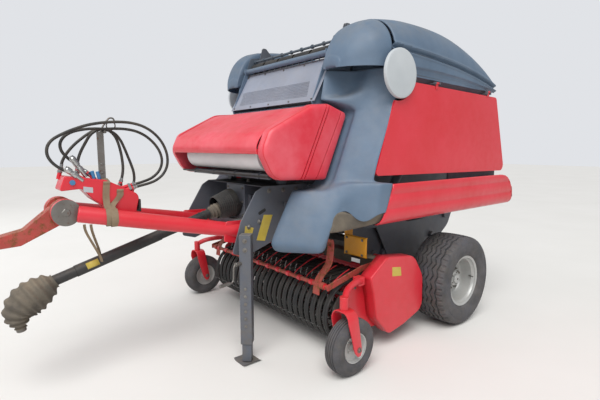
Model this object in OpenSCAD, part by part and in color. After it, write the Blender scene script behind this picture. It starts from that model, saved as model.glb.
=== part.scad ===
// Trailed round baler: a belt bale chamber on two wheels, with a lifting pick-up,
// a swinging tailgate, moulded side shells and a net wrap box across the front.
// X runs across (+X is the machine's left side), Y runs rearward from the axle, Z is up.

/* [Wheels and axle] */
// Diameter of the road tyres
tyre_d = 850; // [760:1:900]
// Width of the road tyres
tyre_w = 380; // [320:1:400]
// Distance between the middles of the road tyres
track = 2160; // [2140:1:2240]
// Diameter of the rim bead seat
rim_d = 450; // [420:1:480]
// Side of the square axle beam
axle_size = 100; // [80:1:120]

/* [Bale chamber] */
// Clear width between the chamber walls
chamber_w = 1200; // [1140:1:1206]
// Thickness of the chamber walls
wall_t = 8; // [5:1:10]
// Clear diameter inside the rollers
bale_d = 1680; // [1640:1:1690]
// Diameter of the front steel rollers
drum_d = 200; // [180:1:210]
// Diameter of the tailgate belt rollers
roller_d = 90; // [80:1:96]
// Number of bale belts
belt_n = 5; // [4:1:6]
// Width of one belt
belt_w = 205; // [170:1:210]
// Thickness of a belt
belt_t = 7; // [5:1:9]

/* [Outer panels] */
// Distance from the middle to the face of the side doors
door_x = 1120; // [1112:1:1130]
// Distance from the middle to the face of the lower panels
skirt_x = 1200; // [1180:1:1215]
// Thickness of the moulded shells
shell_t = 12; // [8:1:14]
// Depth of the folded edge of a side door
door_depth = 55; // [40:1:60]
// Radius of the round disc on each hood
disc_r = 190; // [182:1:200]
// Thickness of the round disc
disc_t = 34; // [20:1:40]

/* [Net wrap box] */
// Distance from the middle to the face of the box ends
net_x = 800; // [790:1:806]
// Thickness of a box end
net_end_t = 80; // [60:1:90]
// Thickness of the lid
lid_t = 12; // [8:1:14]
// Diameter of the net roll
net_roll_d = 230; // [160:1:240]

/* [Drawbar] */
// Diameter of the drawbar tubes
bar_d = 114; // [100:1:120]
// Diameter of the toothed hitch discs
hitch_disc_d = 180; // [170:1:190]
// Bore of the towing eye
eye_bore = 50; // [40:1:60]
// Distance from the middle to the front frame plates
plate_x = 450; // [440:1:455]
// Thickness of the front frame plates
plate_t = 10; // [8:1:12]

/* [Parking jack] */
// Side of the outer jack tube
jack_size = 90; // [86:1:94]
// Wall of the outer jack tube
jack_wall = 9; // [6:1:10]
// Gap round the jack leg
jack_gap = 0.6; // [0.4:0.1:0.9]
// Width of the foot plate
foot_w = 160; // [130:1:180]

/* [Pick-up] */
// Distance from the middle to the pick-up side plates
pick_x = 980; // [970:1:985]
// Radius of the tine tips
tine_r = 300; // [290:1:305]
// Radius of the bands round the reel
band_r = 250; // [240:1:254]
// Distance between tine rows
tine_pitch = 76; // [72:1:90]
// Width of a band
band_w = 50; // [44:1:52]
// Number of tine bars
tine_bars = 4; // [3:1:5]

/* [Gauge wheels] */
// Diameter of the gauge wheels
gauge_d = 434; // [420:1:440]
// Width of the gauge wheels
gauge_w = 138; // [120:1:142]
// Distance from the middle to the swivel pins
gauge_x = 1174; // [1172:1:1180]
// Trail of a gauge wheel behind its swivel pin
gauge_trail = 68; // [60:1:74]

/* [Hidden] */

// Colours, as the photograph shows them
red = "#c83b43";
slate = "#74859a";
frame_grey = "#5f6572";
black = "#26272b";
steel = "#9a9da1";
rust_red = "#a8453a";

// Joint axes, each as [y, z]
tail_pin = [-985, 2700];
door_pin = [1125, 2224];
pick_pin = [-600, 640];
guard_pin = [-860, 700];
lid_pin = [-1400, 1985];
reel_pin = [-1220, 330];
ram_foot = [-704, 1014];
ram_eye = [232, 2156];

fit = 0.3;
gap = 6;

// Places worked out from the sizes
axle_z = tyre_d / 2;
wall_x = chamber_w / 2;
hood_in = wall_x + 55;
ram_x = wall_x + 120;
wheel_x = track / 2;
bale_c = [-50, 1500];
roller_path = bale_d / 2 + 55;
drawn_path = 895; // roller path that the wall outlines are drawn for
function from_bale(y, z) = bale_c + ([y, z] - bale_c) * roller_path / drawn_path;
drum_path = bale_d / 2 + drum_d / 2;
part_low = [60, 640];
part_dir = (part_low - tail_pin) / norm(part_low - tail_pin);
part_side = [-part_dir[1], part_dir[0]];
function parting(along, side) = tail_pin + part_dir * along + part_side * side;
gauge_pin_y = reel_pin[0] - 334;
gauge_y = gauge_pin_y + gauge_trail;
gauge_z = gauge_d / 2;

// Hose routes, from the front of the console over its hook and back to its rear
hose_dia = 20;
hose_routes = [
    [
        [75, -3040, 1500], [75, -3085, 1525], [75, -3128, 1553], [75, -3163, 1590], [75, -3182, 1635],
        [75, -3177, 1685], [75, -3148, 1727], [75, -3095, 1762], [75, -3020, 1798], [75, -2930, 1830],
        [75, -2830, 1850], [75, -2730, 1858], [75, -2640, 1854], [75, -2555, 1832], [75, -2480, 1787],
        [75, -2420, 1720], [75, -2384, 1635], [75, -2382, 1550], [75, -2415, 1480], [75, -2470, 1435],
        [75, -2530, 1412], [75, -2595, 1398], [75, -2645, 1386]
    ],
    [
        [35, -2950, 1512], [35, -2985, 1545], [35, -3025, 1580], [35, -3065, 1618], [35, -3092, 1660],
        [35, -3095, 1708], [35, -3068, 1752], [35, -3018, 1783], [35, -2950, 1801], [35, -2880, 1808],
        [35, -2812, 1808], [35, -2740, 1812], [35, -2665, 1810], [35, -2590, 1795], [35, -2520, 1760],
        [35, -2460, 1705], [35, -2420, 1640], [35, -2408, 1570], [35, -2432, 1502], [35, -2490, 1450],
        [35, -2565, 1422], [35, -2640, 1404]
    ],
    [
        [-15, -2990, 1535], [-15, -2985, 1585], [-15, -2967, 1640], [-15, -2935, 1702], [-15, -2898, 1762],
        [-15, -2856, 1796], [-15, -2812, 1808], [-15, -2768, 1798], [-15, -2732, 1762], [-15, -2710, 1710],
        [-15, -2696, 1650], [-15, -2688, 1590], [-15, -2685, 1530], [-15, -2692, 1475], [-15, -2705, 1430]
    ],
    [
        [-55, -3085, 1540], [-55, -3073, 1585], [-55, -3050, 1628], [-55, -3020, 1668], [-55, -2985, 1705],
        [-55, -2945, 1740], [-55, -2900, 1774], [-55, -2856, 1799], [-55, -2812, 1808], [-55, -2762, 1801],
        [-55, -2715, 1776], [-55, -2680, 1730], [-55, -2654, 1670], [-55, -2632, 1608], [-55, -2612, 1550],
        [-55, -2597, 1495], [-55, -2594, 1440], [-55, -2604, 1395]
    ]
];

// Outline of [y, z, corner radius] rows with each corner rounded by n chords
function unit(v) = v / norm(v);
function bend(a, b, c, n) =
    let (p = [b[0], b[1]], u = unit([a[0], a[1]] - p), v = unit([c[0], c[1]] - p))
    let (half = acos(max(-1, min(1, u * v))) / 2, r = b[2], m = p + unit(u + v) * r / sin(half))
    let (s = p + u * r / tan(half) - m, e = p + v * r / tan(half) - m)
    let (a0 = atan2(s[1], s[0]), turn = atan2(s[0] * e[1] - s[1] * e[0], s * e))
    r <= 0 ? [p] : [for (i = [0:n]) m + r * [cos(a0 + turn * i / n), sin(a0 + turn * i / n)]];
function outline(rows, n = 4) =
    let (k = len(rows))
    [for (i = [0:k - 1]) each bend(rows[(i + k - 1) % k], rows[i], rows[(i + 1) % k], n)];
function arc(c, r, a0, a1, n) =
    [for (i = [0:n]) c + r * [cos(a0 + (a1 - a0) * i / n), sin(a0 + (a1 - a0) * i / n)]];

// A flat plate whose outline lies in Y and Z, t thick from x on
module side_plate(x, t) {
    translate([x, 0, 0]) rotate([90, 0, 90]) linear_extrude(t) children();
}

// A round bar along X, from x on
module cross_bar(x, at, d, length) {
    translate([x, at[0], at[1]]) rotate([0, 90, 0]) cylinder(h = length, d = d, $fn = 40);
}

// A round bar between two points
module rod(a, b, d, sides = 32) {
    v = b - a;
    translate(a)
        rotate([0, acos(v[2] / norm(v)), atan2(v[1], v[0])])
            cylinder(h = norm(v), d = d, $fn = sides);
}

// The left-hand form as drawn, or its mirror image on the right
module on_side(side) {
    mirror([side < 0 ? 1 : 0, 0, 0]) children();
}

// A skin through rings of points, each ring as long as the next
module skin(rings) {
    k = len(rings[0]);
    m = len(rings);
    wall = [for (i = [0:m - 2], j = [0:k - 1]) let (a = i * k + j, b = i * k + (j + 1) % k)
        each [[a, a + k, b], [b, a + k, b + k]]];
    ends = [[for (j = [0:k - 1]) j], [for (j = [0:k - 1]) m * k - 1 - j]];
    polyhedron(points = [for (r = rings) each r], faces = concat(wall, ends), convexity = 6);
}

// Rings of n points round a route of [x, y, z] points that never runs along X
function tube_rings(route, radius, n) =
    [for (i = [0:len(route) - 1])
        let (d = unit(route[min(i + 1, len(route) - 1)] - route[max(i - 1, 0)]))
        let (e = unit([1, 0, 0] - d[0] * d), f = cross(d, e), r = is_list(radius) ? radius[i] : radius)
        [for (j = [0:n - 1]) route[i] + r * (cos(360 * j / n) * e + sin(360 * j / n) * f)]];

// Inward offset of an open path of [u, v] points by t, as the inner face of a shell
function side_of(a, b) = unit([a[1] - b[1], b[0] - a[0]]);
function inner(path, t) =
    let (k = len(path))
    [for (i = [0:k - 1])
        let (n0 = side_of(path[max(i - 1, 0)], path[max(i, 1)]))
        let (n1 = side_of(path[min(i, k - 2)], path[min(i + 1, k - 1)]))
        let (n = unit(n0 + n1))
        path[i] + n * t / max(0.5, n * n0)];
function shell_ring(path, t) =
    let (q = inner(path, t), k = len(path))
    concat(path, [for (i = [0:k - 1]) q[k - 1 - i]]);

// Wheels and axle
module axle() {
    color(frame_grey) union() {
        translate([-wheel_x + tyre_w / 2 - 60, -axle_size / 2, axle_z - axle_size / 2])
            cube([track - tyre_w + 120, axle_size, axle_size]);
        for (s = [-1, 1]) on_side(s) cross_bar(wheel_x - tyre_w / 2, [0, axle_z], 70, tyre_w / 2 - hub_back - fit);
        for (s = [-1, 1]) translate([s > 0 ? wall_x + wall_t + 40 : -wall_x - wall_t - 50, 0, 0])
            side_plate(0, 10) polygon(outline([
                [-600, 930, 0], [-330, axle_z + 40, 60], [-60, axle_z - 60, 20], [90, axle_z - 60, 20],
                [150, axle_z + 120, 80], [220, 930, 0]]));
    }
}

rim_half = tyre_w / 2 - 46;
hub_back = 60;
tyre_section = [
    // radius, x from the middle, corner radius
    [tyre_d / 2, -tyre_w / 2 + 42, 30], [tyre_d / 2 - 66, -tyre_w / 2 + 4, 50],
    [rim_d / 2 + 52, -tyre_w / 2 + 8, 30], [rim_d / 2 + 20, -rim_half, 0], [rim_d / 2, -rim_half, 0],
    [rim_d / 2, rim_half, 0], [rim_d / 2 + 20, rim_half, 0], [rim_d / 2 + 52, tyre_w / 2 - 8, 30],
    [tyre_d / 2 - 66, tyre_w / 2 - 4, 50], [tyre_d / 2, tyre_w / 2 - 42, 30]
];
rim_section = [
    // radius, x from the middle: lip, barrel, disc, and back along the inside
    [rim_d / 2 - fit, -rim_half], [rim_d / 2 - fit, rim_half], [rim_d / 2 + 14, rim_half + fit],
    [rim_d / 2 + 14, rim_half + 8], [rim_d / 2 - 12, rim_half + 8], [rim_d / 2 - 34, rim_half - 44],
    [rim_d / 2 - 40, 10], [150, -2], [105, 34], [76, 34], [72, 64], [40, 70], [0, 70], [0, -hub_back],
    [70, -hub_back], [80, 18], [100, 20], [150, -14], [rim_d / 2 - 30, -10], [rim_d / 2 - 30, -rim_half]
];

module wheel_tyre(side) {
    color(black) translate([side * wheel_x, 0, axle_z]) rotate([0, side * 90, 0])
        rotate_extrude($fn = 72) polygon(outline(tyre_section, 3));
}

module wheel_rim(side) {
    color("silver") translate([side * wheel_x, 0, axle_z]) rotate([0, side * 90, 0])
        rotate_extrude($fn = 64) polygon(rim_section);
}

// Fixed front half of the chamber: each wall ends at a line straight out from the tail pin
front_wall_rows = [
    [each parting(90, -gap / 2), 0], [each parting(norm(part_low - tail_pin), -gap / 2), 0], [each from_bale(40, 560), 0],
    [each from_bale(-420, 520), 60], [each from_bale(-740, 680), 60], [-1120, 1060, 60], [-1300, 1080, 0], [-1300, 1360, 0],
    [-1190, 1600, 0], [-1130, 2380, 60], [-1050, 2600, 40], [tail_pin[0] - 26, tail_pin[1] + 22, 22],
    [tail_pin[0] + 26, tail_pin[1] + 22, 22]
];
side_beam_t = 60;
pick_boss = 32;
drum_angles = [262, 246, 203, 187, 171, 155];

module front_walls() {
    color(frame_grey) for (s = [-1, 1]) on_side(s) union() {
        side_plate(wall_x, wall_t) polygon(outline(front_wall_rows));
        side_plate(wall_x + wall_t, side_beam_t) polygon([[-1290, 1090], [-1290, 1180], [-150, 1010], [-150, 930], [-700, 930]]);
        cross_bar(wall_x + wall_t, pick_pin, 100, pick_boss);
        cross_bar(wall_x, tail_pin, 24, 40);
        for (a = drum_angles) cross_bar(wall_x + wall_t, bale_c + drum_path * [cos(a), sin(a)], 110, 34);
        cross_bar(wall_x + wall_t, ram_foot, 90, ram_x - wall_x - wall_t - 46);
        cross_bar(wall_x + wall_t, ram_foot, 40, ram_x - wall_x - wall_t + 40);
    }
}

module front_drums() {
    color(steel) for (a = drum_angles)
        translate([-wall_x, bale_c[0] + drum_path * cos(a), bale_c[1] + drum_path * sin(a)])
            rotate([0, 90, 0]) cylinder(h = chamber_w, d = drum_d, $fn = 12);
}

// Front frame that carries the gearbox and the drawbar
front_plate_rows = [
    [-1280, 1370, 0], [-1760, 1370, 30], [-1830, 1330, 40], [-1970, 1105, 40],
    [-2050, 863, 25], [-1920, 826, 25], [-1700, 900, 80], [-1280, 1020, 0]
];

module front_frame() {
    color(frame_grey) union() {
        for (s = [-1, 1]) side_plate(s > 0 ? plate_x : -plate_x - plate_t, plate_t)
            polygon(outline(front_plate_rows));
        translate([-wall_x, -1300, 1200]) cube([chamber_w, 60, 160]);
        translate([-plate_x, -1800, 1000]) cube([2 * plate_x, 60, 60]);
        translate([-plate_x, -1560, 1000]) cube([2 * plate_x, 60, 60]);
        translate([-plate_x, -1760, 1364]) cube([2 * plate_x, 470, 6]);
    }
}

// Two tubes from the front plates to the hitch head
head = [-3105, 1250];
ear_x = 100;
module drawbar() {
    color(red) union() {
        for (s = [-1, 1]) {
            difference() {
                rod([s * (plate_x - plate_t / 2 - 60), -1880, 1010], [s * 118, head[0], head[1]], bar_d);
                translate([-ear_x, head[0] - 150, head[1] - 150]) cube([2 * ear_x, 300, 300]);
            }
            on_side(s) cross_bar(ear_x, head, hitch_disc_d, 26);
            on_side(s) cross_bar(ear_x + 26, head, 58, 14);
            side_plate(s > 0 ? plate_x - 70 : -plate_x + 58, 12) polygon(outline([
                [-1810, 1100, 10], [-2060, 1110, 20], [-2080, 950, 20], [-1810, 900, 10]]));
        }
        translate([-plate_x + fit, -1860, 950]) cube([2 * plate_x - 2 * fit, 60, 48]);
        translate([-200, -2720, 1130]) cube([400, 14, 70]);
    }
}

module tow_bar() {
    color(rust_red) difference() {
        union() {
            for (s = [-1, 1]) on_side(s) cross_bar(50, head, hitch_disc_d, ear_x - 50 - fit);
            side_plate(-50, 100) polygon(outline([
                [head[0] + 70, head[1] + 40, 30], [head[0] - 40, head[1] + 60, 30], [-3340, 1150, 30],
                [-3560, 1100, 0], [-3560, 1040, 0], [-3360, 1050, 40], [head[0] + 40, head[1] - 60, 30]]));
            translate([0, -3640, 1040]) cylinder(h = 60, d = eye_bore + 80, $fn = 48);
            translate([-40, -3600, 1040]) cube([80, 60, 60]);
        }
        translate([0, -3640, 1030]) cylinder(h = 80, d = eye_bore, $fn = 48);
    }
}

module gearbox() {
    color(frame_grey) union() {
        translate([-150, -1740, 1060]) cube([300, 300, 300]);
        translate([-180, -1700, 1075]) cube([360, 200, 200]);
        translate([150, -1640, 1150]) rotate([0, 90, 0]) cylinder(h = plate_x - 150, d = 110, $fn = 40);
    }
}

// Input axis of the gearbox, tipped down to the shaft
input_axis = [-1767, 1200];
module pto_guard() {
    color(black) union() {
        translate([0, input_axis[0], input_axis[1]]) rotate([90 + 12, 0, 0])
            rotate_extrude($fn = 64) polygon([
                [112, 0], [124, 0], [124, 40], [100, 175], [92, 175], [112, 44]]);
        for (s = [-1, 1]) on_side(s) translate([113, -1790, 1175]) cube([9, 50, 40]);
    }
}

shaft_a = [0, -1905, 1150];
shaft_b = [0, -3160, 779];
bellows_rows = [
    // y, z, radius of the rubber boot that hangs at the tractor end
    [-3178, 772, 52], [-3215, 752, 85], [-3262, 724, 107], [-3310, 694, 120], [-3352, 664, 119],
    [-3384, 630, 110], [-3402, 594, 95], [-3404, 560, 78], [-3399, 528, 58], [-3394, 496, 38]
];
module pto_shaft() {
    color(black) union() {
        rod([0, -1740, 1192], [0, -1775, 1192], 70);
        rod([0, -1760, 1191], shaft_a, 60);
        rod(shaft_a, shaft_b, 84);
        rod(shaft_b, [0, -3230, 745], 60);
        skin(tube_rings([for (r = bellows_rows) [0, r[0], r[1]]], [for (r = bellows_rows) r[2]], 24));
    }
}

// Hose console with its hook, and a collar for each end of each hose
module hose_console() {
    color(red) union() {
        side_plate(-75, 170) polygon(outline([
            [-2640, 1200, 0], [-2608, 1335, 50], [-2835, 1452, 20], [-3095, 1490, 12],
            [-3130, 1390, 12], [-2990, 1400, 30], [-2925, 1320, 20], [-2760, 1200, 0]]));
        translate([4, -2860, 1430]) cube([12, 45, 360]);
        cross_bar(-68, [-2812, 1787.5], 20, 116);
        rod([10, -2838, 1775], [10, -2775, 1880], 10);
        for (r = hose_routes) {
            k = len(r) - 1;
            rod(r[0] + 80 * unit(r[0] - r[1]), r[0] + fit * unit(r[0] - r[1]), 28);
            rod(r[k] + 80 * unit(r[k] - r[k - 1]), r[k] + fit * unit(r[k] - r[k - 1]), 28);
        }
    }
}
module hose(route) {
    color(black) skin(tube_rings(route, hose_dia / 2, 10));
}

// Parking jack on the left front plate, its tube turned corner to corner
jack_at = [plate_x + plate_t + jack_size * sqrt(2) / 2 + 1, -1968];
leg_size = jack_size - 2 * jack_wall - 2 * jack_gap;
module jack_tube() {
    color(frame_grey) union() {
        translate([jack_at[0], jack_at[1], 150]) rotate([0, 0, 45]) difference() {
            translate([-jack_size / 2, -jack_size / 2, 0]) cube([jack_size, jack_size, 870]);
            translate([-jack_size / 2 + jack_wall, -jack_size / 2 + jack_wall, -1])
                cube([jack_size - 2 * jack_wall, jack_size - 2 * jack_wall, 860]);
        }
        translate([plate_x + plate_t, jack_at[1] - 30, 880]) cube([30, 60, 120]);
    }
}

module jack_leg() {
    color(frame_grey) union() {
        translate([jack_at[0], jack_at[1], 0]) rotate([0, 0, 45])
            translate([-leg_size / 2, -leg_size / 2, 8]) cube([leg_size, leg_size, 560]);
        translate([jack_at[0] - foot_w / 2, jack_at[1] - foot_w / 2, 0]) cube([foot_w, foot_w, 10]);
    }
}

// Lower moulding, its shelf and the column above, as sections from the bottom up
moulding_rows = [
    // z, then the y at each place of moulding_x
    [890, -1600, -1730, -1650, -1560, -1500, -1440, -1400, -1388],
    [930, -1700, -1800, -1710, -1620, -1510, -1440, -1400, -1388],
    [1000, -1740, -1830, -1740, -1640, -1500, -1440, -1400, -1380],
    [1150, -1730, -1815, -1730, -1620, -1490, -1450, -1400, -1200],
    [1250, -1710, -1790, -1710, -1610, -1520, -1510, -1440, -1190],
    [1360, -1690, -1750, -1690, -1595, -1575, -1565, -1480, -1190],
    [1408, -1650, -1690, -1640, -1565, -1545, -1510, -1440, -1190]
];
moulding_x = [wall_x - 15, wall_x + 40, 820, 985, 1040, 1130, 1196, 1200];
column_rows = [
    // z, then the y at each place of column_x
    [1412, -1360, -1360, -1350, -1350, -1390, -1350, -1240, -1222],
    [1560, -1300, -1300, -1290, -1290, -1310, -1270, -1185, -1170],
    [1990, -1118, -1118, -1108, -1108, -1130, -1070, -990, -976],
    [2060, -1330, -1330, -1180, -1100, -1110, -1050, -974, -964],
    [2290, -1270, -1270, -1080, -1040, -1070, -1010, -966, -956]
];
column_x = [hood_in, hood_in + 45, hood_in + 85, 850, 900, 1050, 1108, 1112];

function row_path(x, r) = [for (i = [0:7]) [x[i], r[i + 1]]];
function level(path, z, t, drop) =
    let (q = inner(path, t))
    concat([for (p = path) [p[0], p[1], z]], [for (i = [7:-1:0]) [q[i][0], q[i][1], z - drop]]);
module mouldings() {
    shelf_z = moulding_rows[6][0];
    color(slate) for (s = [-1, 1]) on_side(s) union() {
        skin(concat(
            [for (r = moulding_rows) level(row_path(moulding_x, r), r[0], shell_t, r[0] < shelf_z ? 0 : shell_t)],
            [for (r = column_rows) level(row_path(column_x, r), r[0], shell_t, r[0] > 1420 ? 0 : shell_t)]));
        translate([plate_x + plate_t, -1560, 1190]) cube([1008 - plate_x - plate_t, 15, 40]);
        translate([0, 0, 1600]) linear_extrude(12) polygon([
            [wall_x + wall_t, -1272], [hood_in + 35, -1272], [hood_in + 35, -1246], [wall_x + wall_t + 20, -1246],
            [wall_x + wall_t + 20, -1150], [wall_x + wall_t, -1150]]);
    }
}

// Hood sections across the pod: inner side, rounded crown, then a quarter round down to the outer side
hood_turns = [22, 44, 66, 88];
function hood_path(low, xc, top, x_out, side_top) = concat(
    [[hood_in, low], [hood_in, top - 60], [hood_in + 40, top - 18], [xc, top]],
    [for (t = hood_turns) [xc + (x_out - xc) * sin(t), side_top + (top - side_top) * cos(t)]],
    [[x_out, low]]);
hood_front_rows = [
    // y, foot height, crown outward of the inner side and its height, outer x, top of the flat side
    [-1296, 2296, 65, 2400, 850, 2330],
    [-1262, 2296, 95, 2490, 920, 2350],
    [-1190, 2296, 125, 2600, 1010, 2380],
    [-1100, 2296, 145, 2665, 1075, 2400],
    [-996, 2296, 175, 2700, 1104, 2430]
];
hood_rear_rows = [
    // y, foot height, crown outward of the inner side and its height, outer x, top of the flat side
    [-960, 2300, 180, 2705, 1106, 2440],
    [-700, 2256, 195, 2735, 1110, 2462],
    [-300, 2246, 195, 2738, 1114, 2440],
    [0, 2240, 195, 2703, 1116, 2412],
    [300, 2236, 195, 2620, 1112, 2365],
    [520, 2234, 205, 2510, 1108, 2325],
    [690, 2232, 230, 2370, 1100, 2286]
];

function hood_ring(r) = [for (p = shell_ring(hood_path(r[1], hood_in + r[2], r[3], r[4], r[5]), -shell_t)) [p[0], r[0], p[1]]];
module hoods(rows) {
    color(slate) for (s = [-1, 1]) on_side(s) union() skin([for (r = rows) hood_ring(r)]);
}

disc_at = [-929, 2248];
disc_peg = [-890, 2350];
disc_peg_x = 1107.5;
module discs() {
    color("#c9ced0") for (s = [-1, 1]) on_side(s) union() {
        cross_bar(door_x + gap, disc_at, 2 * disc_r, disc_t);
        cross_bar(disc_peg_x, disc_peg, 50, door_x + gap - disc_peg_x);
    }
}

// Sloping front panel with a barred window, and the pipe along its top
panel_foot = [-1380, 2050];
panel_top = [-1180, 2410];
panel_len = norm(panel_top - panel_foot);
window_x = wall_x - 80;
panel_tilt = atan2(panel_top[1] - panel_foot[1], panel_top[0] - panel_foot[0]);
module front_panel() {
    color(frame_grey) union() {
        translate([0, panel_foot[0], panel_foot[1]]) rotate([panel_tilt, 0, 0]) {
            difference() {
                translate([-wall_x - 45, 0, -3]) cube([chamber_w + 90, panel_len, 6]);
                translate([-window_x, 50, -4]) cube([2 * window_x, 150, 8]);
            }
            for (i = [0:19]) translate([-window_x - 6 + (i + 0.5) * window_x / 10, 45, -3]) cube([12, 160, 6]);
            for (j = [0:2]) translate([-window_x - 5, 80 + j * 40, -3]) cube([2 * window_x + 10, 8, 6]);
        }
        cross_bar(-wall_x - 50, [-1200, 2455], 50, chamber_w + 100);
        for (s = [-1, 1]) on_side(s) {
            side_plate(wall_x + wall_t, 10) polygon([
                [-1385, 2040], [-1230, 2430], [-1230, 2485], [-1060, 2485], [-1060, 2300], [-1180, 1985], [-1360, 1985]]);
            for (p = [[-1090, 2440], [-1110, 2345]]) cross_bar(wall_x + wall_t, p, 50, hood_in - wall_x - wall_t);
        }
        cross_bar(-wall_x - 40, [-1345, 2010], 40, chamber_w + 80);
    }
}

net_rows = [
    [-1524, 2005, 150], [-1925, 1802, 90], [-1995, 1650, 120], [-1880, 1440, 150],
    [-1375, 1422, 25], [-1148, 1955, 30], [-1350, 2020, 60]
];
module net_box() {
    color(red) union() {
        for (s = [-1, 1]) side_plate(s > 0 ? net_x - net_end_t : -net_x, net_end_t)
            polygon(outline(net_rows, 6));
        side_plate(-net_x + net_end_t - 1, 2 * net_x - 2 * net_end_t + 2) polygon([
            [-1900, 1462], [-1890, 1452], [-1390, 1432], [-1370, 1440], [-1330, 1600], [-1340, 1600], [-1385, 1448]]);
        cross_bar(-560, [-1835, 1432], 40, 1220);
        cross_bar(-net_x + net_end_t - 1, lid_pin, 16, 2 * net_x - 2 * net_end_t + 2);
        for (s = [-1, 1]) on_side(s) translate([370, -1560, 1370]) cube([60, 60, 75]);
    }
}

module net_roll() {
    core = net_x - net_end_t - fit;
    color("#e4e0d8") union() {
        cross_bar(-600, [-1790, 1610], net_roll_d, 1200);
        cross_bar(-core, [-1790, 1610], 60, 2 * core);
    }
}

module net_lid() {
    color(red) difference() {
        union() {
            side_plate(-net_x + net_end_t + gap, 2 * (net_x - net_end_t - gap)) polygon(outline([
                [-1420, 1992, 0], [-1530, 1985, 60], [-1918, 1785, 70], [-1985, 1690, 40], [-1972, 1632, 0],
                [-1972 + lid_t, 1634, 0], [-1985 + lid_t, 1690, 30], [-1912, 1775, 60], [-1528, 1985 - lid_t, 50],
                [-1420, 1992 - lid_t, 0]]));
            for (s = [-1, 1]) on_side(s) {
                cross_bar(360, lid_pin, 34, 90);
                translate([360, -1430, 1978]) cube([90, 26, 12]);
            }
        }
        cross_bar(-net_x, lid_pin, 16.6, 2 * net_x);
    }
}

module guard_plate() {
    color("#d8a020") union() {
        translate([wall_x + wall_t + side_beam_t, -1040, 745]) cube([pick_x - 62 - wall_x - wall_t - side_beam_t, 6, 180]);
        translate([wall_x + wall_t + side_beam_t, -1040, 745]) cube([6, 100, 345]);
    }
}

// Tailgate: walls with the belt rollers between them
tail_rows = [
    [each parting(90, gap / 2), 0], [each from_bale(-560, 2570), 80], [each from_bale(-60, 2490), 200],
    [each from_bale(540, 2200), 200], [each from_bale(920, 1750), 200], [each from_bale(970, 1300), 200],
    [each from_bale(720, 800), 200], [each from_bale(420, 600), 120], [each from_bale(160, 540), 40],
    [each parting(norm(part_low - tail_pin), gap / 2), 0]
];
roller_angles = [128, 107, 86, 65, 44, 23, 2, -19, -40, -61, -75];

module tail_frame() {
    color(frame_grey) union() {
        for (s = [-1, 1]) on_side(s) {
            side_plate(wall_x, wall_t) polygon(outline(tail_rows));
            for (a = roller_angles) cross_bar(wall_x + wall_t, bale_c + roller_path * [cos(a), sin(a)], 80, 30);
            cross_bar(wall_x + wall_t, ram_eye, 90, ram_x - wall_x - wall_t - 46);
            for (y = hinge_y, dy = [-20, 45]) translate([0, y + dy, door_top(y) + 4]) {
                translate([wall_x + wall_t, 0, 0]) cube([door_pin[0] + 9 - wall_x - wall_t, 15, 10]);
                translate([door_pin[0] - 9, 0, 0]) cube([18, 15, door_pin[1] + 9 - door_top(y) - 4]);
            }
            for (y = hinge_y) translate([door_pin[0], y + 60, door_pin[1]]) rotate([90, 0, 0])
                cylinder(h = 80, d = 10, $fn = 32);
            for (y = skirt_y)
                translate([wall_x + wall_t, y, 1200]) cube([skirt_x - 10 - wall_x - wall_t - fit, 40, 40]);
            for (p = [[-600, 2500], [150, 2360]]) cross_bar(wall_x + wall_t, p, 50, hood_in - wall_x - wall_t);
            difference() {
                side_plate(wall_x + wall_t, 14) polygon(outline([
                    [-1011, 2674, 20], [-1011, 2722, 20], [-960, 2722, 20], [-790, 2560, 20], [-800, 2500, 20], [-870, 2500, 20]]));
                cross_bar(wall_x + wall_t - 1, tail_pin, 380, 1 + fit);
                cross_bar(wall_x + wall_t - 1, tail_pin, 24.6, 20);
            }
        }
        translate([-wall_x - wall_t, from_bale(906, 0)[0], 1480]) cube([chamber_w + 2 * wall_t, 50, 100]);
    }
}

module tail_rollers() {
    color(steel) for (a = roller_angles)
        cross_bar(-wall_x, bale_c + roller_path * [cos(a), sin(a)], roller_d, chamber_w);
}

module belts() {
    belt_gap = (chamber_w - 30 - belt_n * belt_w) / max(1, belt_n - 1);
    r0 = roller_path - roller_d / 2 - 1.2;
    r1 = roller_path + roller_d / 2 + 1.2;
    color(black) for (i = [0:belt_n - 1])
        side_plate(-chamber_w / 2 + 15 + i * (belt_w + belt_gap), belt_w) difference() {
            polygon(belt_loop(r0 - belt_t, r1 + belt_t));
            polygon(belt_loop(r0, r1));
        }
}
function belt_loop(r0, r1) =
    let (mid = (r0 + r1) / 2, half = (r1 - r0) / 2, first = roller_angles[0], last = roller_angles[10])
    concat([for (a = roller_angles) bale_c + r1 * [cos(a), sin(a)]],
        arc(bale_c + mid * [cos(last), sin(last)], half, last - 20, last - 160, 6),
        [for (k = [10:-1:0]) bale_c + r0 * [cos(roller_angles[k]), sin(roller_angles[k])]],
        arc(bale_c + mid * [cos(first), sin(first)], half, first + 160, first + 20, 6));

// Lower side panels, folded channels with a round lower edge
module skirts() {
    color(red) for (s = [-1, 1]) on_side(s)
        translate([0, -1180, 0]) rotate([-90, 0, 0]) linear_extrude(2160) polygon([for (p = skirt_ring()) [p[0], -p[1]]]);
}
function skirt_ring() = shell_ring([
    [1090, 1388], [skirt_x - 20, 1400], [skirt_x, 1380], [skirt_x, 1150], [skirt_x - 14, 1110], [skirt_x - 60, 1080]], -10);

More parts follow.
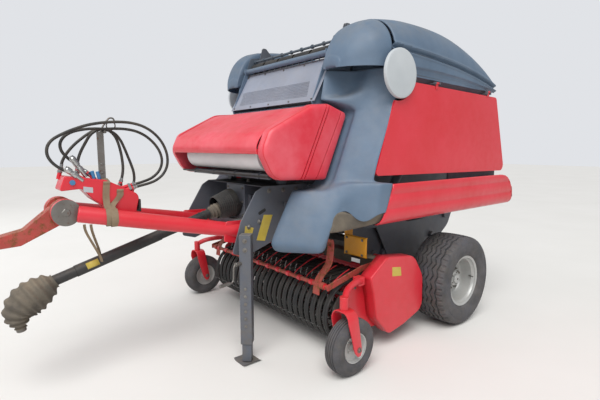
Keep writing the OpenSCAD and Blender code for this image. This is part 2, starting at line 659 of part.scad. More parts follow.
// Side door, a pan with a folded edge and a round cut for the disc
hinge_y = [-420, 480];
skirt_y = [-150, 650];
function door_top(y) = 2214 - (y + 660) * 24 / 1340;
module door_shape(inset) {
    difference() {
        polygon(outline([
            [-660, 2214 - inset, 0], [680 - inset, 2190 - inset, 40], [930 - inset, 1434 + inset, 60],
            [-1176 + 1.4 * inset, 1462 + inset, 30], [-930 + inset, 2080, 0], [-900, 2214 - inset, 0]], 4));
        translate(disc_at) circle(r = disc_r + 16 + inset, $fn = 64);
    }
}
module door(side) {
    color(red) on_side(side) difference() {
        union() {
            side_plate(door_x - door_depth, door_depth) door_shape(0);
            for (y = hinge_y) {
                translate([door_x - 4, y, door_pin[1] - 54]) cube([8, 40, 54]);
                translate([door_pin[0], y + 40, door_pin[1]]) rotate([90, 0, 0]) cylinder(h = 40, d = 18, $fn = 32);
            }
        }
        side_plate(door_x - door_depth - 1, door_depth - shell_t + 1) door_shape(shell_t);
        for (y = hinge_y) translate([door_pin[0], y + 41, door_pin[1]]) rotate([90, 0, 0])
            cylinder(h = 42, d = 10.6, $fn = 32);
    }
}

// Tailgate rams, one each side
ram_v = ram_eye - ram_foot;
ram_len = norm(ram_v);
ram_dir = ram_v / ram_len;
barrel_len = 1230;
module ram_barrel(side) {
    foot = [side * ram_x, ram_foot[0], ram_foot[1]];
    dir = [0, ram_dir[0], ram_dir[1]];
    color(frame_grey) difference() {
        union() {
            rod(foot + 40 * dir, foot + barrel_len * dir, 80);
            cross_bar(side * ram_x - 30, ram_foot, 90, 60);
        }
        cross_bar(side * ram_x - 31, ram_foot, 40.6, 62);
        rod(foot + 120 * dir, foot + (barrel_len - 40) * dir, 52);
        rod(foot + (barrel_len - 41) * dir, foot + (barrel_len + 1) * dir, 40.6);
    }
}
module ram_rod(side) {
    eye = [side * ram_x, ram_eye[0], ram_eye[1]];
    dir = [0, ram_dir[0], ram_dir[1]];
    color("silver") union() {
        rod(eye - (ram_len - 130) * dir, eye - 35 * dir, 40);
        cross_bar(side * ram_x - 30, ram_eye, 90, 60);
        cross_bar(side * ram_x - 38, ram_eye, 40, 76);
    }
}

// Pick-up
shield_rows = [
    [-1180, 650, 30], [-977, 790, 70], [-640, 735, 120], [-475, 540, 90], [-465, 235, 70],
    [-740, 150, 60], [-935, 118, 60], [-1100, 290, 120], [-1137, 500, 80]
];
guard_link_x = 935;
band_n = floor(2 * (pick_x - 40) / tine_pitch);
band_x0 = -(band_n - 1) * tine_pitch / 2;

module pickup_frame() {
    color(red) union() {
        for (s = [-1, 1]) on_side(s) {
            side_plate(pick_x, 8) polygon(outline([
                [-1300, 560, 60], [-1180, 640, 30], [-977, 760, 70], [-640, 735, 100], [-475, 540, 80], [-470, 300, 60],
                [-740, 160, 60], [-1150, 180, 60], [-1330, 300, 60]]));
            difference() {
                side_plate(pick_x + 8, 108) polygon(outline(shield_rows));
                side_plate(pick_x + 7, 99) offset_rows(shield_rows, 10);
            }
            translate([pick_x + 8, -1270, 590]) cube([70, 70, 70]);
            difference() {
                union() {
                    rod([pick_x + 60, -1235, 625], [gauge_x, gauge_pin_y, 585], 50);
                    translate([gauge_x, gauge_pin_y, 520]) cylinder(h = 90, d = 64, $fn = 40);
                }
                translate([gauge_x, gauge_pin_y, 500]) cylinder(h = 96, d = 40.6, $fn = 40);
            }
            cross_bar(wall_x + wall_t + pick_boss + fit, pick_pin, 60, pick_x - wall_x - wall_t - pick_boss - fit);
            cross_bar(guard_link_x + fit, guard_pin, 30, pick_x - guard_link_x - fit);
        }
        cross_bar(-pick_x, [-700, 420], 90, 2 * pick_x);
        cross_bar(-pick_x, [-850, 600], 50, 2 * pick_x);
        side_plate(-pick_x, 2 * pick_x) polygon([[-880, 230], [-880, 580], [-872, 600], [-872, 230]]);
    }
}
module offset_rows(rows, d) {
    c = [-810, 470];
    polygon(outline([for (r = rows) let (v = c - [r[0], r[1]]) [r[0] + v[0] * d * 1.3 / norm(v), r[1] + v[1] * d * 1.3 / norm(v), max(0, r[2] - d)]]));
}

module bands() {
    color(black) for (i = [0:band_n - 1]) side_plate(band_x0 + i * tine_pitch - band_w / 2, band_w)
        difference() {
            polygon(band_outline(band_r));
            polygon(band_outline(band_r - 4));
        }
}
function band_outline(r) = concat(
    arc(reel_pin, r, 90, 270, 14),
    [[-930, reel_pin[1] - r + 10], [-880 - (band_r - r), reel_pin[1] - 100], [-880 - (band_r - r), reel_pin[1] + r]]);

module reel() {
    color(steel) union() {
        cross_bar(-pick_x + fit, reel_pin, 60, 2 * pick_x - 2 * fit);
        for (s = [-900, 0, 900]) cross_bar(s - 5, reel_pin, 2 * 170 + 40, 10);
        for (b = [0:tine_bars - 1]) {
            a = b * 360 / tine_bars + 20;
            cross_bar(-pick_x + 20, reel_pin + 170 * [cos(a), sin(a)], 30, 2 * pick_x - 40);
            for (i = [0:band_n - 2]) rod(
                [band_x0 + (i + 0.5) * tine_pitch, reel_pin[0] + 165 * cos(a), reel_pin[1] + 165 * sin(a)],
                [band_x0 + (i + 0.5) * tine_pitch, reel_pin[0] + tine_r * cos(a - 6), reel_pin[1] + tine_r * sin(a - 6)], 6, 4);
        }
    }
}

// Wind guard: a bar on two arms, with bent tines over the bands
guard_bar = [-1470, 590];
module wind_guard() {
    color(rust_red) union() {
        cross_bar(-925, guard_bar, 34, 1850);
        for (s = [-1, 1]) {
            on_side(s) side_plate(guard_link_x - 10, 10) polygon(outline([
                [guard_pin[0] + 25, guard_pin[1] + 20, 10], [guard_pin[0] + 25, guard_pin[1] - 20, 10], [-1100, 655, 0],
                [guard_bar[0] - 25, guard_bar[1] - 25, 10], [guard_bar[0] - 25, guard_bar[1] + 25, 10], [-1100, 705, 0]]));
            side_plate(s * 800 - 6, 12) polygon(outline([
                [-1300, 930, 10], [-1370, 930, 10], [-1500, 640, 10], [-1525, 505, 10], [-1470, 520, 10], [-1410, 640, 10]]));
        }
        for (i = [0:11]) {
            x = band_x0 + (2 * i + 1) * tine_pitch;
            guard_tine(x);
        }
    }
}
module guard_tine(x) {
    pts = [[-1470, 590], [-1430, 566], [-1368, 606], [-1260, 655], [-1130, 690]];
    side_plate(x - 5, 10) polygon(shell_ring(pts, 9));
}

// Castor fork and gauge wheel
module fork(side) {
    color(red) translate([side * gauge_x, gauge_pin_y, 0]) union() {
        translate([0, 0, 500]) cylinder(h = 90, d = 40, $fn = 40);
        difference() {
            translate([-gauge_w / 2 - 20, -60, 470]) cube([gauge_w + 40, 130, 38]);
            translate([-gauge_w / 2 - 12, -61, 460]) cube([gauge_w + 24, 132, 38]);
        }
        for (s = [-1, 1]) side_plate(s > 0 ? gauge_w / 2 + 12 : -gauge_w / 2 - 20, 8) polygon(outline([
            [-60, 500, 0], [-60, 420, 40], [gauge_trail - 36, gauge_z - 20, 20],
            [gauge_trail + 20, gauge_z - 50, 20], [gauge_trail + 36, gauge_z, 20], [70, 420, 60], [70, 500, 0]]));
        cross_bar(-gauge_w / 2 - 16, [gauge_trail, gauge_z], 20, gauge_w + 32);
    }
}
module gauge_wheel(side) {
    color(black) translate([side * gauge_x, gauge_y, gauge_z]) rotate([0, 90, 0])
        rotate_extrude($fn = 60) polygon(outline([
            [gauge_d / 2, -gauge_w / 2 + 30, 20], [gauge_d / 2 - 40, -gauge_w / 2, 30], [110, -gauge_w / 2 + 14, 10],
            [100, -gauge_w / 2 + 30, 0], [30, -20, 0], [30, -50, 0], [10.3, -50, 0], [10.3, 50, 0], [30, 50, 0],
            [30, 20, 0], [100, gauge_w / 2 - 30, 0], [110, gauge_w / 2 - 14, 10], [gauge_d / 2 - 40, gauge_w / 2, 30],
            [gauge_d / 2, gauge_w / 2 - 30, 20]], 3));
}

axle();
front_walls();
front_drums();
front_frame();
drawbar();
tow_bar();
gearbox();
pto_guard();
pto_shaft();
hose_console();
hose(hose_routes[0]);  // hose_a
hose(hose_routes[1]);  // hose_b
hose(hose_routes[2]);  // hose_c
hose(hose_routes[3]);  // hose_d
jack_tube();
jack_leg();
mouldings();
hoods(hood_front_rows);  // hoods_front
discs();
front_panel();
net_box();
net_roll();
net_lid();
guard_plate();
tail_frame();
tail_rollers();
belts();
hoods(hood_rear_rows);  // hoods_rear
skirts();
door(1);  // door_left
door(-1);  // door_right
ram_barrel(1);  // ram_barrel_left
ram_barrel(-1);  // ram_barrel_right
ram_rod(1);  // ram_rod_left
ram_rod(-1);  // ram_rod_right
wheel_tyre(1);  // tyre_left
wheel_tyre(-1);  // tyre_right
wheel_rim(1);  // rim_left
wheel_rim(-1);  // rim_right
pickup_frame();
bands();
reel();
wind_guard();
fork(1);  // fork_left
fork(-1);  // fork_right
gauge_wheel(1);  // gauge_wheel_left
gauge_wheel(-1);  // gauge_wheel_right
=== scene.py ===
"""Visual model of a trailed round baler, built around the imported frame.

Everything is in metres in the frame of the CAD: X across (+X is the machine's left side),
Y toward the tailgate, Z up, with the main axle at Y = 0 and the ground at Z = 0.
"""
import math
import random

import bmesh
import bpy
from mathutils import Matrix, Vector


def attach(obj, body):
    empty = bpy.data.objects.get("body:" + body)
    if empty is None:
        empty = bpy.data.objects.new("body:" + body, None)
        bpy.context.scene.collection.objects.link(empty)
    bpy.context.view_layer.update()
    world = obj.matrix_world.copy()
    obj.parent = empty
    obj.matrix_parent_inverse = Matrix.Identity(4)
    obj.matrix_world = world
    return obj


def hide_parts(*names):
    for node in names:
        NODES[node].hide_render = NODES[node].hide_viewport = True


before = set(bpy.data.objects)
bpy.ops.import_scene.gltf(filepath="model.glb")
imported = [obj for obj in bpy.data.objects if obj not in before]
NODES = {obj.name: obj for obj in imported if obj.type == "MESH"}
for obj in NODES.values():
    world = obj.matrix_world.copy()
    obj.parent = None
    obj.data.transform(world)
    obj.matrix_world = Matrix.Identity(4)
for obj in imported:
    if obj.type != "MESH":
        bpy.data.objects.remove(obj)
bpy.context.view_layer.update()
random.seed(11)

X_AXIS = Vector((1, 0, 0))


# ---------------------------------------------------------------- materials
class Graph:
    """A material's node tree, with short calls for the nodes that the finishes below use."""

    def __init__(self, name):
        self.mat = bpy.data.materials.new(name)
        self.mat.use_nodes = True
        self.tree = self.mat.node_tree
        self.bsdf = self.tree.nodes["Principled BSDF"]
        coord = self.tree.nodes.new("ShaderNodeTexCoord")
        self.at = coord.outputs["Object"]
        self.normal = coord.outputs["Normal"]

    def link(self, a, b):
        self.tree.links.new(a, b)

    def stretch(self, scale):
        node = self.tree.nodes.new("ShaderNodeMapping")
        node.inputs["Scale"].default_value = scale
        self.link(self.at, node.inputs["Vector"])
        return node.outputs[0]

    def noise(self, scale, detail=4.0, rough=0.55, at=None):
        node = self.tree.nodes.new("ShaderNodeTexNoise")
        node.inputs["Scale"].default_value = scale
        node.inputs["Detail"].default_value = detail
        node.inputs["Roughness"].default_value = rough
        self.link(at or self.at, node.inputs["Vector"])
        return node.outputs["Fac"]

    def cells(self, scale, at=None):
        node = self.tree.nodes.new("ShaderNodeTexVoronoi")
        node.inputs["Scale"].default_value = scale
        self.link(at or self.at, node.inputs["Vector"])
        return node.outputs["Distance"]

    def ramp(self, value, low, high, a=0.0, b=1.0):
        node = self.tree.nodes.new("ShaderNodeMapRange")
        node.inputs["From Min"].default_value = low
        node.inputs["From Max"].default_value = high
        node.inputs["To Min"].default_value = a
        node.inputs["To Max"].default_value = b
        self.link(value, node.inputs["Value"])
        return node.outputs[0]

    def math(self, kind, a, b):
        node = self.tree.nodes.new("ShaderNodeMath")
        node.operation = kind
        for k, v in enumerate((a, b)):
            if isinstance(v, (int, float)):
                node.inputs[k].default_value = v
            else:
                self.link(v, node.inputs[k])
        return node.outputs[0]

    def mix(self, fac, a, b):
        node = self.tree.nodes.new("ShaderNodeMix")
        node.data_type = "RGBA"
        self.link(fac, node.inputs["Factor"])
        for k, v in ((6, a), (7, b)):
            if isinstance(v, tuple):
                node.inputs[k].default_value = (*v, 1)
            else:
                self.link(v, node.inputs[k])
        return node.outputs[2]

    def up(self):
        node = self.tree.nodes.new("ShaderNodeSeparateXYZ")
        self.link(self.normal, node.inputs[0])
        return node.outputs[2]

    def height(self):
        node = self.tree.nodes.new("ShaderNodeSeparateXYZ")
        self.link(self.at, node.inputs[0])
        return node.outputs[2]

    def bump(self, value, strength, distance):
        node = self.tree.nodes.new("ShaderNodeBump")
        node.inputs["Strength"].default_value = strength
        node.inputs["Distance"].default_value = distance
        self.link(value, node.inputs["Height"])
        previous = self.bsdf.inputs["Normal"].links
        if previous:
            self.link(previous[0].from_socket, node.inputs["Normal"])
        self.link(node.outputs[0], self.bsdf.inputs["Normal"])


def srgb(code):
    """Linear colour of a six-digit hex code."""
    parts = [int(code[i:i + 2], 16) / 255 for i in (0, 2, 4)]
    return tuple(c / 12.92 if c <= 0.04045 else ((c + 0.055) / 1.055) ** 2.4 for c in parts)


DUST = srgb("9a8d78")
RUST = srgb("6b3a22")


def surface(name, base, shade, rough=(0.35, 0.55), metal=0.0, patch=1.6, dust=0.0, dust_up=0.0,
            rust=0.0, low_dirt=0.0, grain=(900.0, 0.0), wave=(0.0, 0.0), scratch=0.0, coat=0.0):
    """A finish with patches of a second shade, dust, rust spots, splashes near the ground, and fine grain."""
    g = Graph(name)
    patches = g.ramp(g.noise(patch, 6, 0.6), 0.35, 0.68)
    colour = g.mix(patches, srgb(base), srgb(shade))
    roughness = g.ramp(g.noise(patch * 9, 5), 0.3, 0.7, rough[0], rough[1])
    if scratch:
        lines = g.ramp(g.noise(46, 3, 0.5, g.stretch((0.3, 0.12, 5.0))), 0.66, 0.72, 0, scratch)
        colour = g.mix(lines, colour, tuple(min(1, c * 1.5 + 0.08) for c in srgb(base)))
    if dust or dust_up:
        flat = g.ramp(g.up(), 0.25, 0.95, dust, dust + dust_up)
        cloud = g.math("MULTIPLY", g.ramp(g.noise(5.5, 9, 0.68), 0.36, 0.66), flat)
        colour = g.mix(cloud, colour, DUST)
        roughness = g.math("MAXIMUM", roughness, g.ramp(cloud, 0, 0.5, rough[0], 0.9))
    if low_dirt:
        low = g.ramp(g.height(), 1.15, 0.25, 0, low_dirt)
        splash = g.math("MULTIPLY", low, g.ramp(g.noise(17, 8, 0.72), 0.42, 0.6))
        colour = g.mix(splash, colour, srgb("6e6250"))
        roughness = g.math("MAXIMUM", roughness, g.ramp(splash, 0, 0.5, rough[0], 0.92))
    if rust:
        spots = g.ramp(g.noise(24, 9, 0.74), 0.70 - 0.24 * rust, 0.76 - 0.2 * rust)
        colour = g.mix(spots, colour, g.mix(g.noise(90, 4), RUST, srgb("8a5634")))
        roughness = g.math("MAXIMUM", roughness, g.ramp(spots, 0, 1, rough[0], 0.88))
        g.bump(spots, 0.35, 0.0012)
    if grain[1]:
        g.bump(g.noise(grain[0], 3, 0.6), grain[1], 0.0006)
    if wave[1]:
        g.bump(g.noise(wave[0], 2, 0.4), wave[1], 0.004)
    g.link(colour, g.bsdf.inputs["Base Color"])
    g.link(roughness, g.bsdf.inputs["Roughness"])
    g.bsdf.inputs["Metallic"].default_value = metal
    g.bsdf.inputs["Coat Weight"].default_value = coat
    g.bsdf.inputs["Coat Roughness"].default_value = 0.22
    return g.mat


M = {
    "red": surface("red_enamel", "cc1424", "d42c3c", (0.30, 0.46), dust=0.02, dust_up=0.10, low_dirt=0.06,
                   grain=(420, 0.10), wave=(3.5, 0.25), scratch=0.10, coat=0.25),
    "red_faded": surface("red_sunned_plastic", "d4283a", "e05866", (0.34, 0.52), patch=2.6, dust=0.04, dust_up=0.16,
                         grain=(600, 0.10), wave=(3.0, 0.3), scratch=0.10),
    # The paler pink patches of the cap are partly sun-fading of the plastic and partly painted highlight.
    "cap": surface("red_sunbleached_plastic_and_painted_sheen", "d32a3c", "de5f6b", (0.32, 0.50), patch=2.2, dust=0.03, dust_up=0.12,
                   grain=(600, 0.10), wave=(3.0, 0.3), scratch=0.12),
    "slate": surface("slate_moulding", "4f6378", "60758b", (0.45, 0.62), patch=1.3, dust=0.05, dust_up=0.30,
                     low_dirt=0.2, grain=(1500, 0.30), wave=(4.0, 0.30), scratch=0.10),
    # A darker copy of the slate for parts tucked into recesses and gaps: the extra darkness is painted shade.
    "slate_shaded": surface("slate_painted_shade", "434e5b", "4f5b69", (0.55, 0.7), dust=0.12, dust_up=0.3, grain=(1500, 0.3)),
    "grey": surface("grey_frame_paint", "4d525c", "5b606a", (0.4, 0.6), dust=0.08, dust_up=0.35, rust=0.18,
                    low_dirt=0.35, grain=(500, 0.14), scratch=0.15),
    "pale_grey": surface("pale_grey_sheet", "848b9a", "949bab", (0.4, 0.58), dust=0.08, dust_up=0.25, rust=0.06,
                         grain=(500, 0.12), scratch=0.12),
    "black": surface("black_plastic", "1d1e20", "2a2b2d", (0.5, 0.7), patch=4, dust=0.06, dust_up=0.16,
                     grain=(900, 0.2), scratch=0.08),
    "dusty_black": surface("dusty_bellows_rubber", "4a453f", "5e574d", (0.72, 0.9), patch=7, dust=0.25, dust_up=0.4,
                           grain=(700, 0.35)),
    "rubber": surface("belt_rubber", "17181a", "222325", (0.6, 0.8), patch=5, dust=0.06, dust_up=0.10, grain=(300, 0.4)),
    "tyre": surface("tyre_rubber", "3c3d41", "515157", (0.68, 0.88), patch=9, dust=0.10, dust_up=0.10, low_dirt=0.16,
                    grain=(650, 0.35)),
    "silver": surface("silver_rim_paint", "c3c4c2", "adaeac", (0.32, 0.5), metal=0.35, dust=0.08, dust_up=0.2,
                      rust=0.10, grain=(500, 0.1)),
    "steel": surface("bare_steel", "8a8885", "6f6b66", (0.35, 0.6), metal=0.85, patch=6, rust=0.45, dust=0.08,
                     grain=(260, 0.2)),
    "bright": surface("bright_steel", "b9b9b8", "a5a5a4", (0.18, 0.32), metal=1.0, patch=8, grain=(420, 0.06)),
    "worn_red": surface("worn_red_paint", "b3342f", "9d4038", (0.5, 0.72), patch=9, rust=0.85, dust=0.15, dust_up=0.35,
                        grain=(320, 0.3), scratch=0.2),
    "yellow": surface("yellow_guard_paint", "e09c10", "cf8a0c", (0.4, 0.6), patch=6, dust=0.08, dust_up=0.15, rust=0.30,
                      grain=(420, 0.15), scratch=0.2),
    "disc": surface("pale_disc_plastic", "bcc1c4", "aeb5b9", (0.32, 0.5), dust=0.04, dust_up=0.3, grain=(900, 0.1)),
    "net": surface("net_wrap", "e6e5e6", "d9d8da", (0.7, 0.85), patch=3, dust=0.03, grain=(380, 0.5)),
    "webbing": surface("brown_webbing", "7c6a54", "8d7b64", (0.8, 0.95), patch=12, dust=0.2, grain=(240, 0.8)),
    "hose": surface("hose_rubber", "1b1c1d", "2b2b2b", (0.5, 0.72), patch=9, dust=0.12, dust_up=0.2, grain=(700, 0.25)),
    "blue": surface("blue_cap", "2f6f9f", "3a7cab", (0.35, 0.5), dust=0.1, grain=(500, 0.1)),
    "rope": surface("worn_rope", "8b7d66", "77694f", (0.85, 0.95), patch=30, dust=0.2, grain=(420, 0.9)),
    "lamp_red": surface("red_lamp_lens", "a3121a", "b31c24", (0.15, 0.25), dust=0.05, grain=(900, 0.05), coat=0.6),
    "lamp_amber": surface("amber_lamp_lens", "c8690f", "d77a18", (0.15, 0.25), dust=0.05, grain=(900, 0.05), coat=0.6),
    "plate": surface("blank_plate", "c9b24a", "bda53c", (0.4, 0.6), patch=12, dust=0.2, grain=(500, 0.1)),
}


# ---------------------------------------------------------------- mesh pieces
class Piece:
    """Collects simple shapes into one mesh and then makes it an object that rides on a body."""

    def __init__(self):
        self.bm = bmesh.new()

    def face_grid(self, rows, close_u=False, close_v=False):
        """A skin through rows of points, each row as long as the next."""
        vs = [[self.bm.verts.new(p) for p in row] for row in rows]
        n, m = len(rows), len(rows[0])
        for i in range(n if close_v else n - 1):
            for j in range(m if close_u else m - 1):
                a, b = vs[i][j], vs[i][(j + 1) % m]
                c, d = vs[(i + 1) % n][(j + 1) % m], vs[(i + 1) % n][j]
                self.bm.faces.new((a, b, c, d))
        return vs

    def prism(self, loop, shift):
        """A closed loop of points pushed along shift, with both ends closed."""
        a = [self.bm.verts.new(p) for p in loop]
        b = [self.bm.verts.new(Vector(p) + Vector(shift)) for p in loop]
        self.bm.faces.new(a[::-1])
        self.bm.faces.new(b)
        n = len(a)
        for i in range(n):
            self.bm.faces.new((a[i], a[(i + 1) % n], b[(i + 1) % n], b[i]))

    def plate(self, x, t, yz):
        self.prism([(x, y, z) for y, z in yz], (t, 0, 0))

    def box(self, lo, hi):
        (x0, y0, z0), (x1, y1, z1) = lo, hi
        self.prism([(x0, y0, z0), (x1, y0, z0), (x1, y1, z0), (x0, y1, z0)], (0, 0, z1 - z0))

    def lathe(self, rings, origin, axis, sides=32, closed=True):
        """Rings of (distance along the axis, radius) turned round it, with both ends filled if closed."""
        axis = Vector(axis).normalized()
        u = axis.orthogonal().normalized()
        v = axis.cross(u)
        origin = Vector(origin)
        rows = []
        for d, r in rings:
            rows.append([origin + axis * d + (u * math.cos(a) + v * math.sin(a)) * max(r, 1e-5)
                         for a in (2 * math.pi * k / sides for k in range(sides))])
        vs = self.face_grid(rows, close_u=True)
        if closed:
            self.bm.faces.new(vs[0][::-1])
            self.bm.faces.new(vs[-1])

    def rod(self, a, b, r, sides=16):
        a, b = Vector(a), Vector(b)
        length = (b - a).length
        edge = min(r * 0.12, length * 0.1)
        self.lathe([(0, r - edge), (edge, r), (length - edge, r), (length, r - edge)], a, b - a, sides)

    def bolt(self, at, axis, r=0.012, h=0.009):
        """A washer, a six-sided head and the end of the thread."""
        axis = Vector(axis).normalized()
        at = Vector(at)
        self.lathe([(0, r * 1.5), (h * 0.25, r * 1.5), (h * 0.3, r * 1.4)], at, axis, 20)
        self.lathe([(h * 0.3, r * 1.02), (h * 0.85, r * 1.02), (h, r * 0.86)], at, axis, 6)
        self.lathe([(h, r * 0.5), (h * 1.5, r * 0.5), (h * 1.6, r * 0.42)], at, axis, 12)

    def tube(self, path, r, sides=10, closed=False):
        """A round tube along a path; r is one radius or one for each point."""
        pts = [Vector(p) for p in path]
        n = len(pts)
        radii = r if isinstance(r, (list, tuple)) else [r] * n
        normal = None
        rows = []
        for i in range(n):
            a = pts[(i - 1) % n] if closed or i else pts[0]
            b = pts[(i + 1) % n] if closed or i < n - 1 else pts[-1]
            t = (b - a).normalized()
            if normal is None:
                normal = t.orthogonal().normalized()
            normal = (normal - t * normal.dot(t)).normalized()
            side = t.cross(normal)
            rows.append([pts[i] + (normal * math.cos(c) + side * math.sin(c)) * radii[i]
                         for c in (2 * math.pi * k / sides for k in range(sides))])
        vs = self.face_grid(rows, close_u=True, close_v=closed)
        if not closed:
            self.bm.faces.new(vs[0][::-1])
            self.bm.faces.new(vs[-1])

    def ribbon(self, path, across, width, thick):
        """A flat strap along a path: across is its wide direction."""
        pts = [Vector(p) for p in path]
        across = Vector(across).normalized()
        rows = []
        for i, p in enumerate(pts):
            t = (pts[min(i + 1, len(pts) - 1)] - pts[max(i - 1, 0)]).normalized()
            n = t.cross(across).normalized()
            w = across * width / 2
            rows.append([p - w, p + w, p + w + n * thick, p - w + n * thick])
        vs = self.face_grid(rows, close_u=True)
        self.bm.faces.new(vs[0][::-1])
        self.bm.faces.new(vs[-1])

    def ball(self, at, r):
        rings = [(-r * math.cos(a), r * math.sin(a)) for a in (math.pi * k / 10 for k in range(1, 10))]
        self.lathe(rings, at, (0, 0, 1), 20)

    def make(self, name, mat, body, slot=None, smooth=35, bevel=0.0, mirror=False, thick=0.0, sub=0,
             offset=-1.0, segments=2):
        if mirror:
            extra = self.bm.copy()
            for v in extra.verts:
                v.co.x = -v.co.x
            bmesh.ops.reverse_faces(extra, faces=extra.faces)
            temp = bpy.data.meshes.new("t")
            extra.to_mesh(temp)
            self.bm.from_mesh(temp)
            bpy.data.meshes.remove(temp)
            extra.free()
        bmesh.ops.recalc_face_normals(self.bm, faces=self.bm.faces)
        mesh = bpy.data.meshes.new(name)
        self.bm.to_mesh(mesh)
        self.bm.free()
        o = bpy.data.objects.new(name, mesh)
        bpy.context.scene.collection.objects.link(o)
        mesh.materials.append(M[mat])
        if sub:
            s = o.modifiers.new("sub", "SUBSURF")
            s.levels = s.render_levels = sub
        if thick:
            s = o.modifiers.new("thick", "SOLIDIFY")
            s.thickness = thick
            s.offset = offset
            s.use_even_offset = True
        if bevel:
            b = o.modifiers.new("bevel", "BEVEL")
            b.width = bevel
            b.segments = segments
            b.limit_method = "ANGLE"
            b.angle_limit = math.radians(35)
            b.harden_normals = False
        for f in mesh.polygons:
            f.use_smooth = True
        with bpy.context.temp_override(object=o, active_object=o, selected_objects=[o],
                                       selected_editable_objects=[o]):
            bpy.ops.object.shade_smooth_by_angle(angle=math.radians(smooth))
        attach(o, body)
        return o


def spline(points, steps=6):
    """Catmull-Rom curve through the points."""
    pts = [Vector(p) for p in points]
    out = []
    for i in range(len(pts) - 1):
        p0, p1, p2, p3 = pts[max(i - 1, 0)], pts[i], pts[i + 1], pts[min(i + 2, len(pts) - 1)]
        for k in range(steps):
            t = k / steps
            out.append(0.5 * (2 * p1 + (p2 - p0) * t + (2 * p0 - 5 * p1 + 4 * p2 - p3) * t * t
                              + (3 * p1 - p0 - 3 * p2 + p3) * t ** 3))
    out.append(pts[-1])
    return out


def rounded(points, n=5):
    """A closed outline of (y, z, radius) rows with each corner rounded."""
    out = []
    k = len(points)
    for i in range(k):
        a, b, c = (Vector(points[(i + j) % k][:2]) for j in (-1, 0, 1))
        r = points[i][2]
        if r <= 0:
            out.append(tuple(b))
            continue
        u, v = (a - b).normalized(), (c - b).normalized()
        half = u.angle(v) / 2
        m = b + (u + v).normalized() * r / math.sin(half)
        s, e = b + u * r / math.tan(half) - m, b + v * r / math.tan(half) - m
        a0 = math.atan2(s.y, s.x)
        turn = math.atan2(s.x * e.y - s.y * e.x, s.dot(e))
        out += [(m.x + r * math.cos(a0 + turn * j / n), m.y + r * math.sin(a0 + turn * j / n)) for j in range(n + 1)]
    return out


def shift(x):
    """The same move for each point of a path, for a piece drawn at X = 0."""
    return lambda pts: [(x, y, z) for y, z in pts]


# ---------------------------------------------------------------- camera, floor and light
def look_down(o, at, yaw, pitch):
    fwd = Vector((-math.sin(yaw) * math.cos(pitch), math.cos(yaw) * math.cos(pitch), -math.sin(pitch)))
    o.location = at
    o.rotation_euler = fwd.to_track_quat("-Z", "Y").to_euler()


camera = bpy.data.objects.new("camera", bpy.data.cameras.new("camera"))
bpy.context.scene.collection.objects.link(camera)
look_down(camera, (3.236, -3.676, 1.680), math.radians(50.36), math.radians(7.11))
camera.data.sensor_width = 36
camera.data.lens = 422.8 / 600 * 36
camera.data.clip_end = 200
bpy.context.scene.camera = camera

view = bpy.context.scene.view_settings
view.view_transform = "Standard"


def area_light(name, at, target, size, power, colour=(1, 1, 1)):
    lamp = bpy.data.lights.new(name, "AREA")
    lamp.shape = "RECTANGLE"
    lamp.size, lamp.size_y = size
    lamp.energy = power
    lamp.color = colour
    o = bpy.data.objects.new(name, lamp)
    bpy.context.scene.collection.objects.link(o)
    o.location = at
    o.rotation_euler = (Vector(target) - Vector(at)).to_track_quat("-Z", "Y").to_euler()


area_light("key", (5.5, -6.5, 8.0), (0, -0.8, 1.0), (7, 7), 330, (1, 0.985, 0.96))
area_light("fill", (-7.0, -6.0, 5.0), (0, -0.8, 1.0), (7, 6), 120, (0.96, 0.98, 1))


def sun_light():
    lamp = bpy.data.lights.new("sky_sun", "SUN")
    lamp.energy = 1.9
    lamp.angle = math.radians(40)
    o = bpy.data.objects.new("sky_sun", lamp)
    bpy.context.scene.collection.objects.link(o)
    o.rotation_euler = Vector((-0.45, 0.5, -1.0)).to_track_quat("-Z", "Y").to_euler()


sun_light()


def paint_world():
    world = bpy.data.worlds.new("studio")
    world.use_nodes = True
    tree = world.node_tree
    back = tree.nodes["Background"]
    back.inputs["Color"].default_value = (0.94, 0.96, 1, 1)
    path = tree.nodes.new("ShaderNodeLightPath")
    seen = tree.nodes.new("ShaderNodeMath")
    seen.operation = "MAXIMUM"
    tree.links.new(path.outputs["Is Camera Ray"], seen.inputs[0])
    tree.links.new(path.outputs["Is Transmission Ray"], seen.inputs[1])
    level = tree.nodes.new("ShaderNodeMapRange")
    level.inputs["To Min"].default_value = 0.55
    level.inputs["To Max"].default_value = 0.80
    tree.links.new(seen.outputs[0], level.inputs["Value"])
    tree.links.new(level.outputs[0], back.inputs["Strength"])
    bpy.context.scene.world = world


paint_world()


def lay_floor():
    g = Graph("floor")
    g.link(g.mix(g.noise(0.7, 5), srgb("dcdad5"), srgb("e6e4e0")), g.bsdf.inputs["Base Color"])
    g.bsdf.inputs["Roughness"].default_value = 0.85
    bm = bmesh.new()
    bmesh.ops.create_grid(bm, x_segments=2, y_segments=2, size=40)
    mesh = bpy.data.meshes.new("floor")
    bm.to_mesh(mesh)
    bm.free()
    o = bpy.data.objects.new("floor", mesh)
    o.location = (0, 0, -0.001)
    bpy.context.scene.collection.objects.link(o)
    mesh.materials.append(g.mat)


lay_floor()

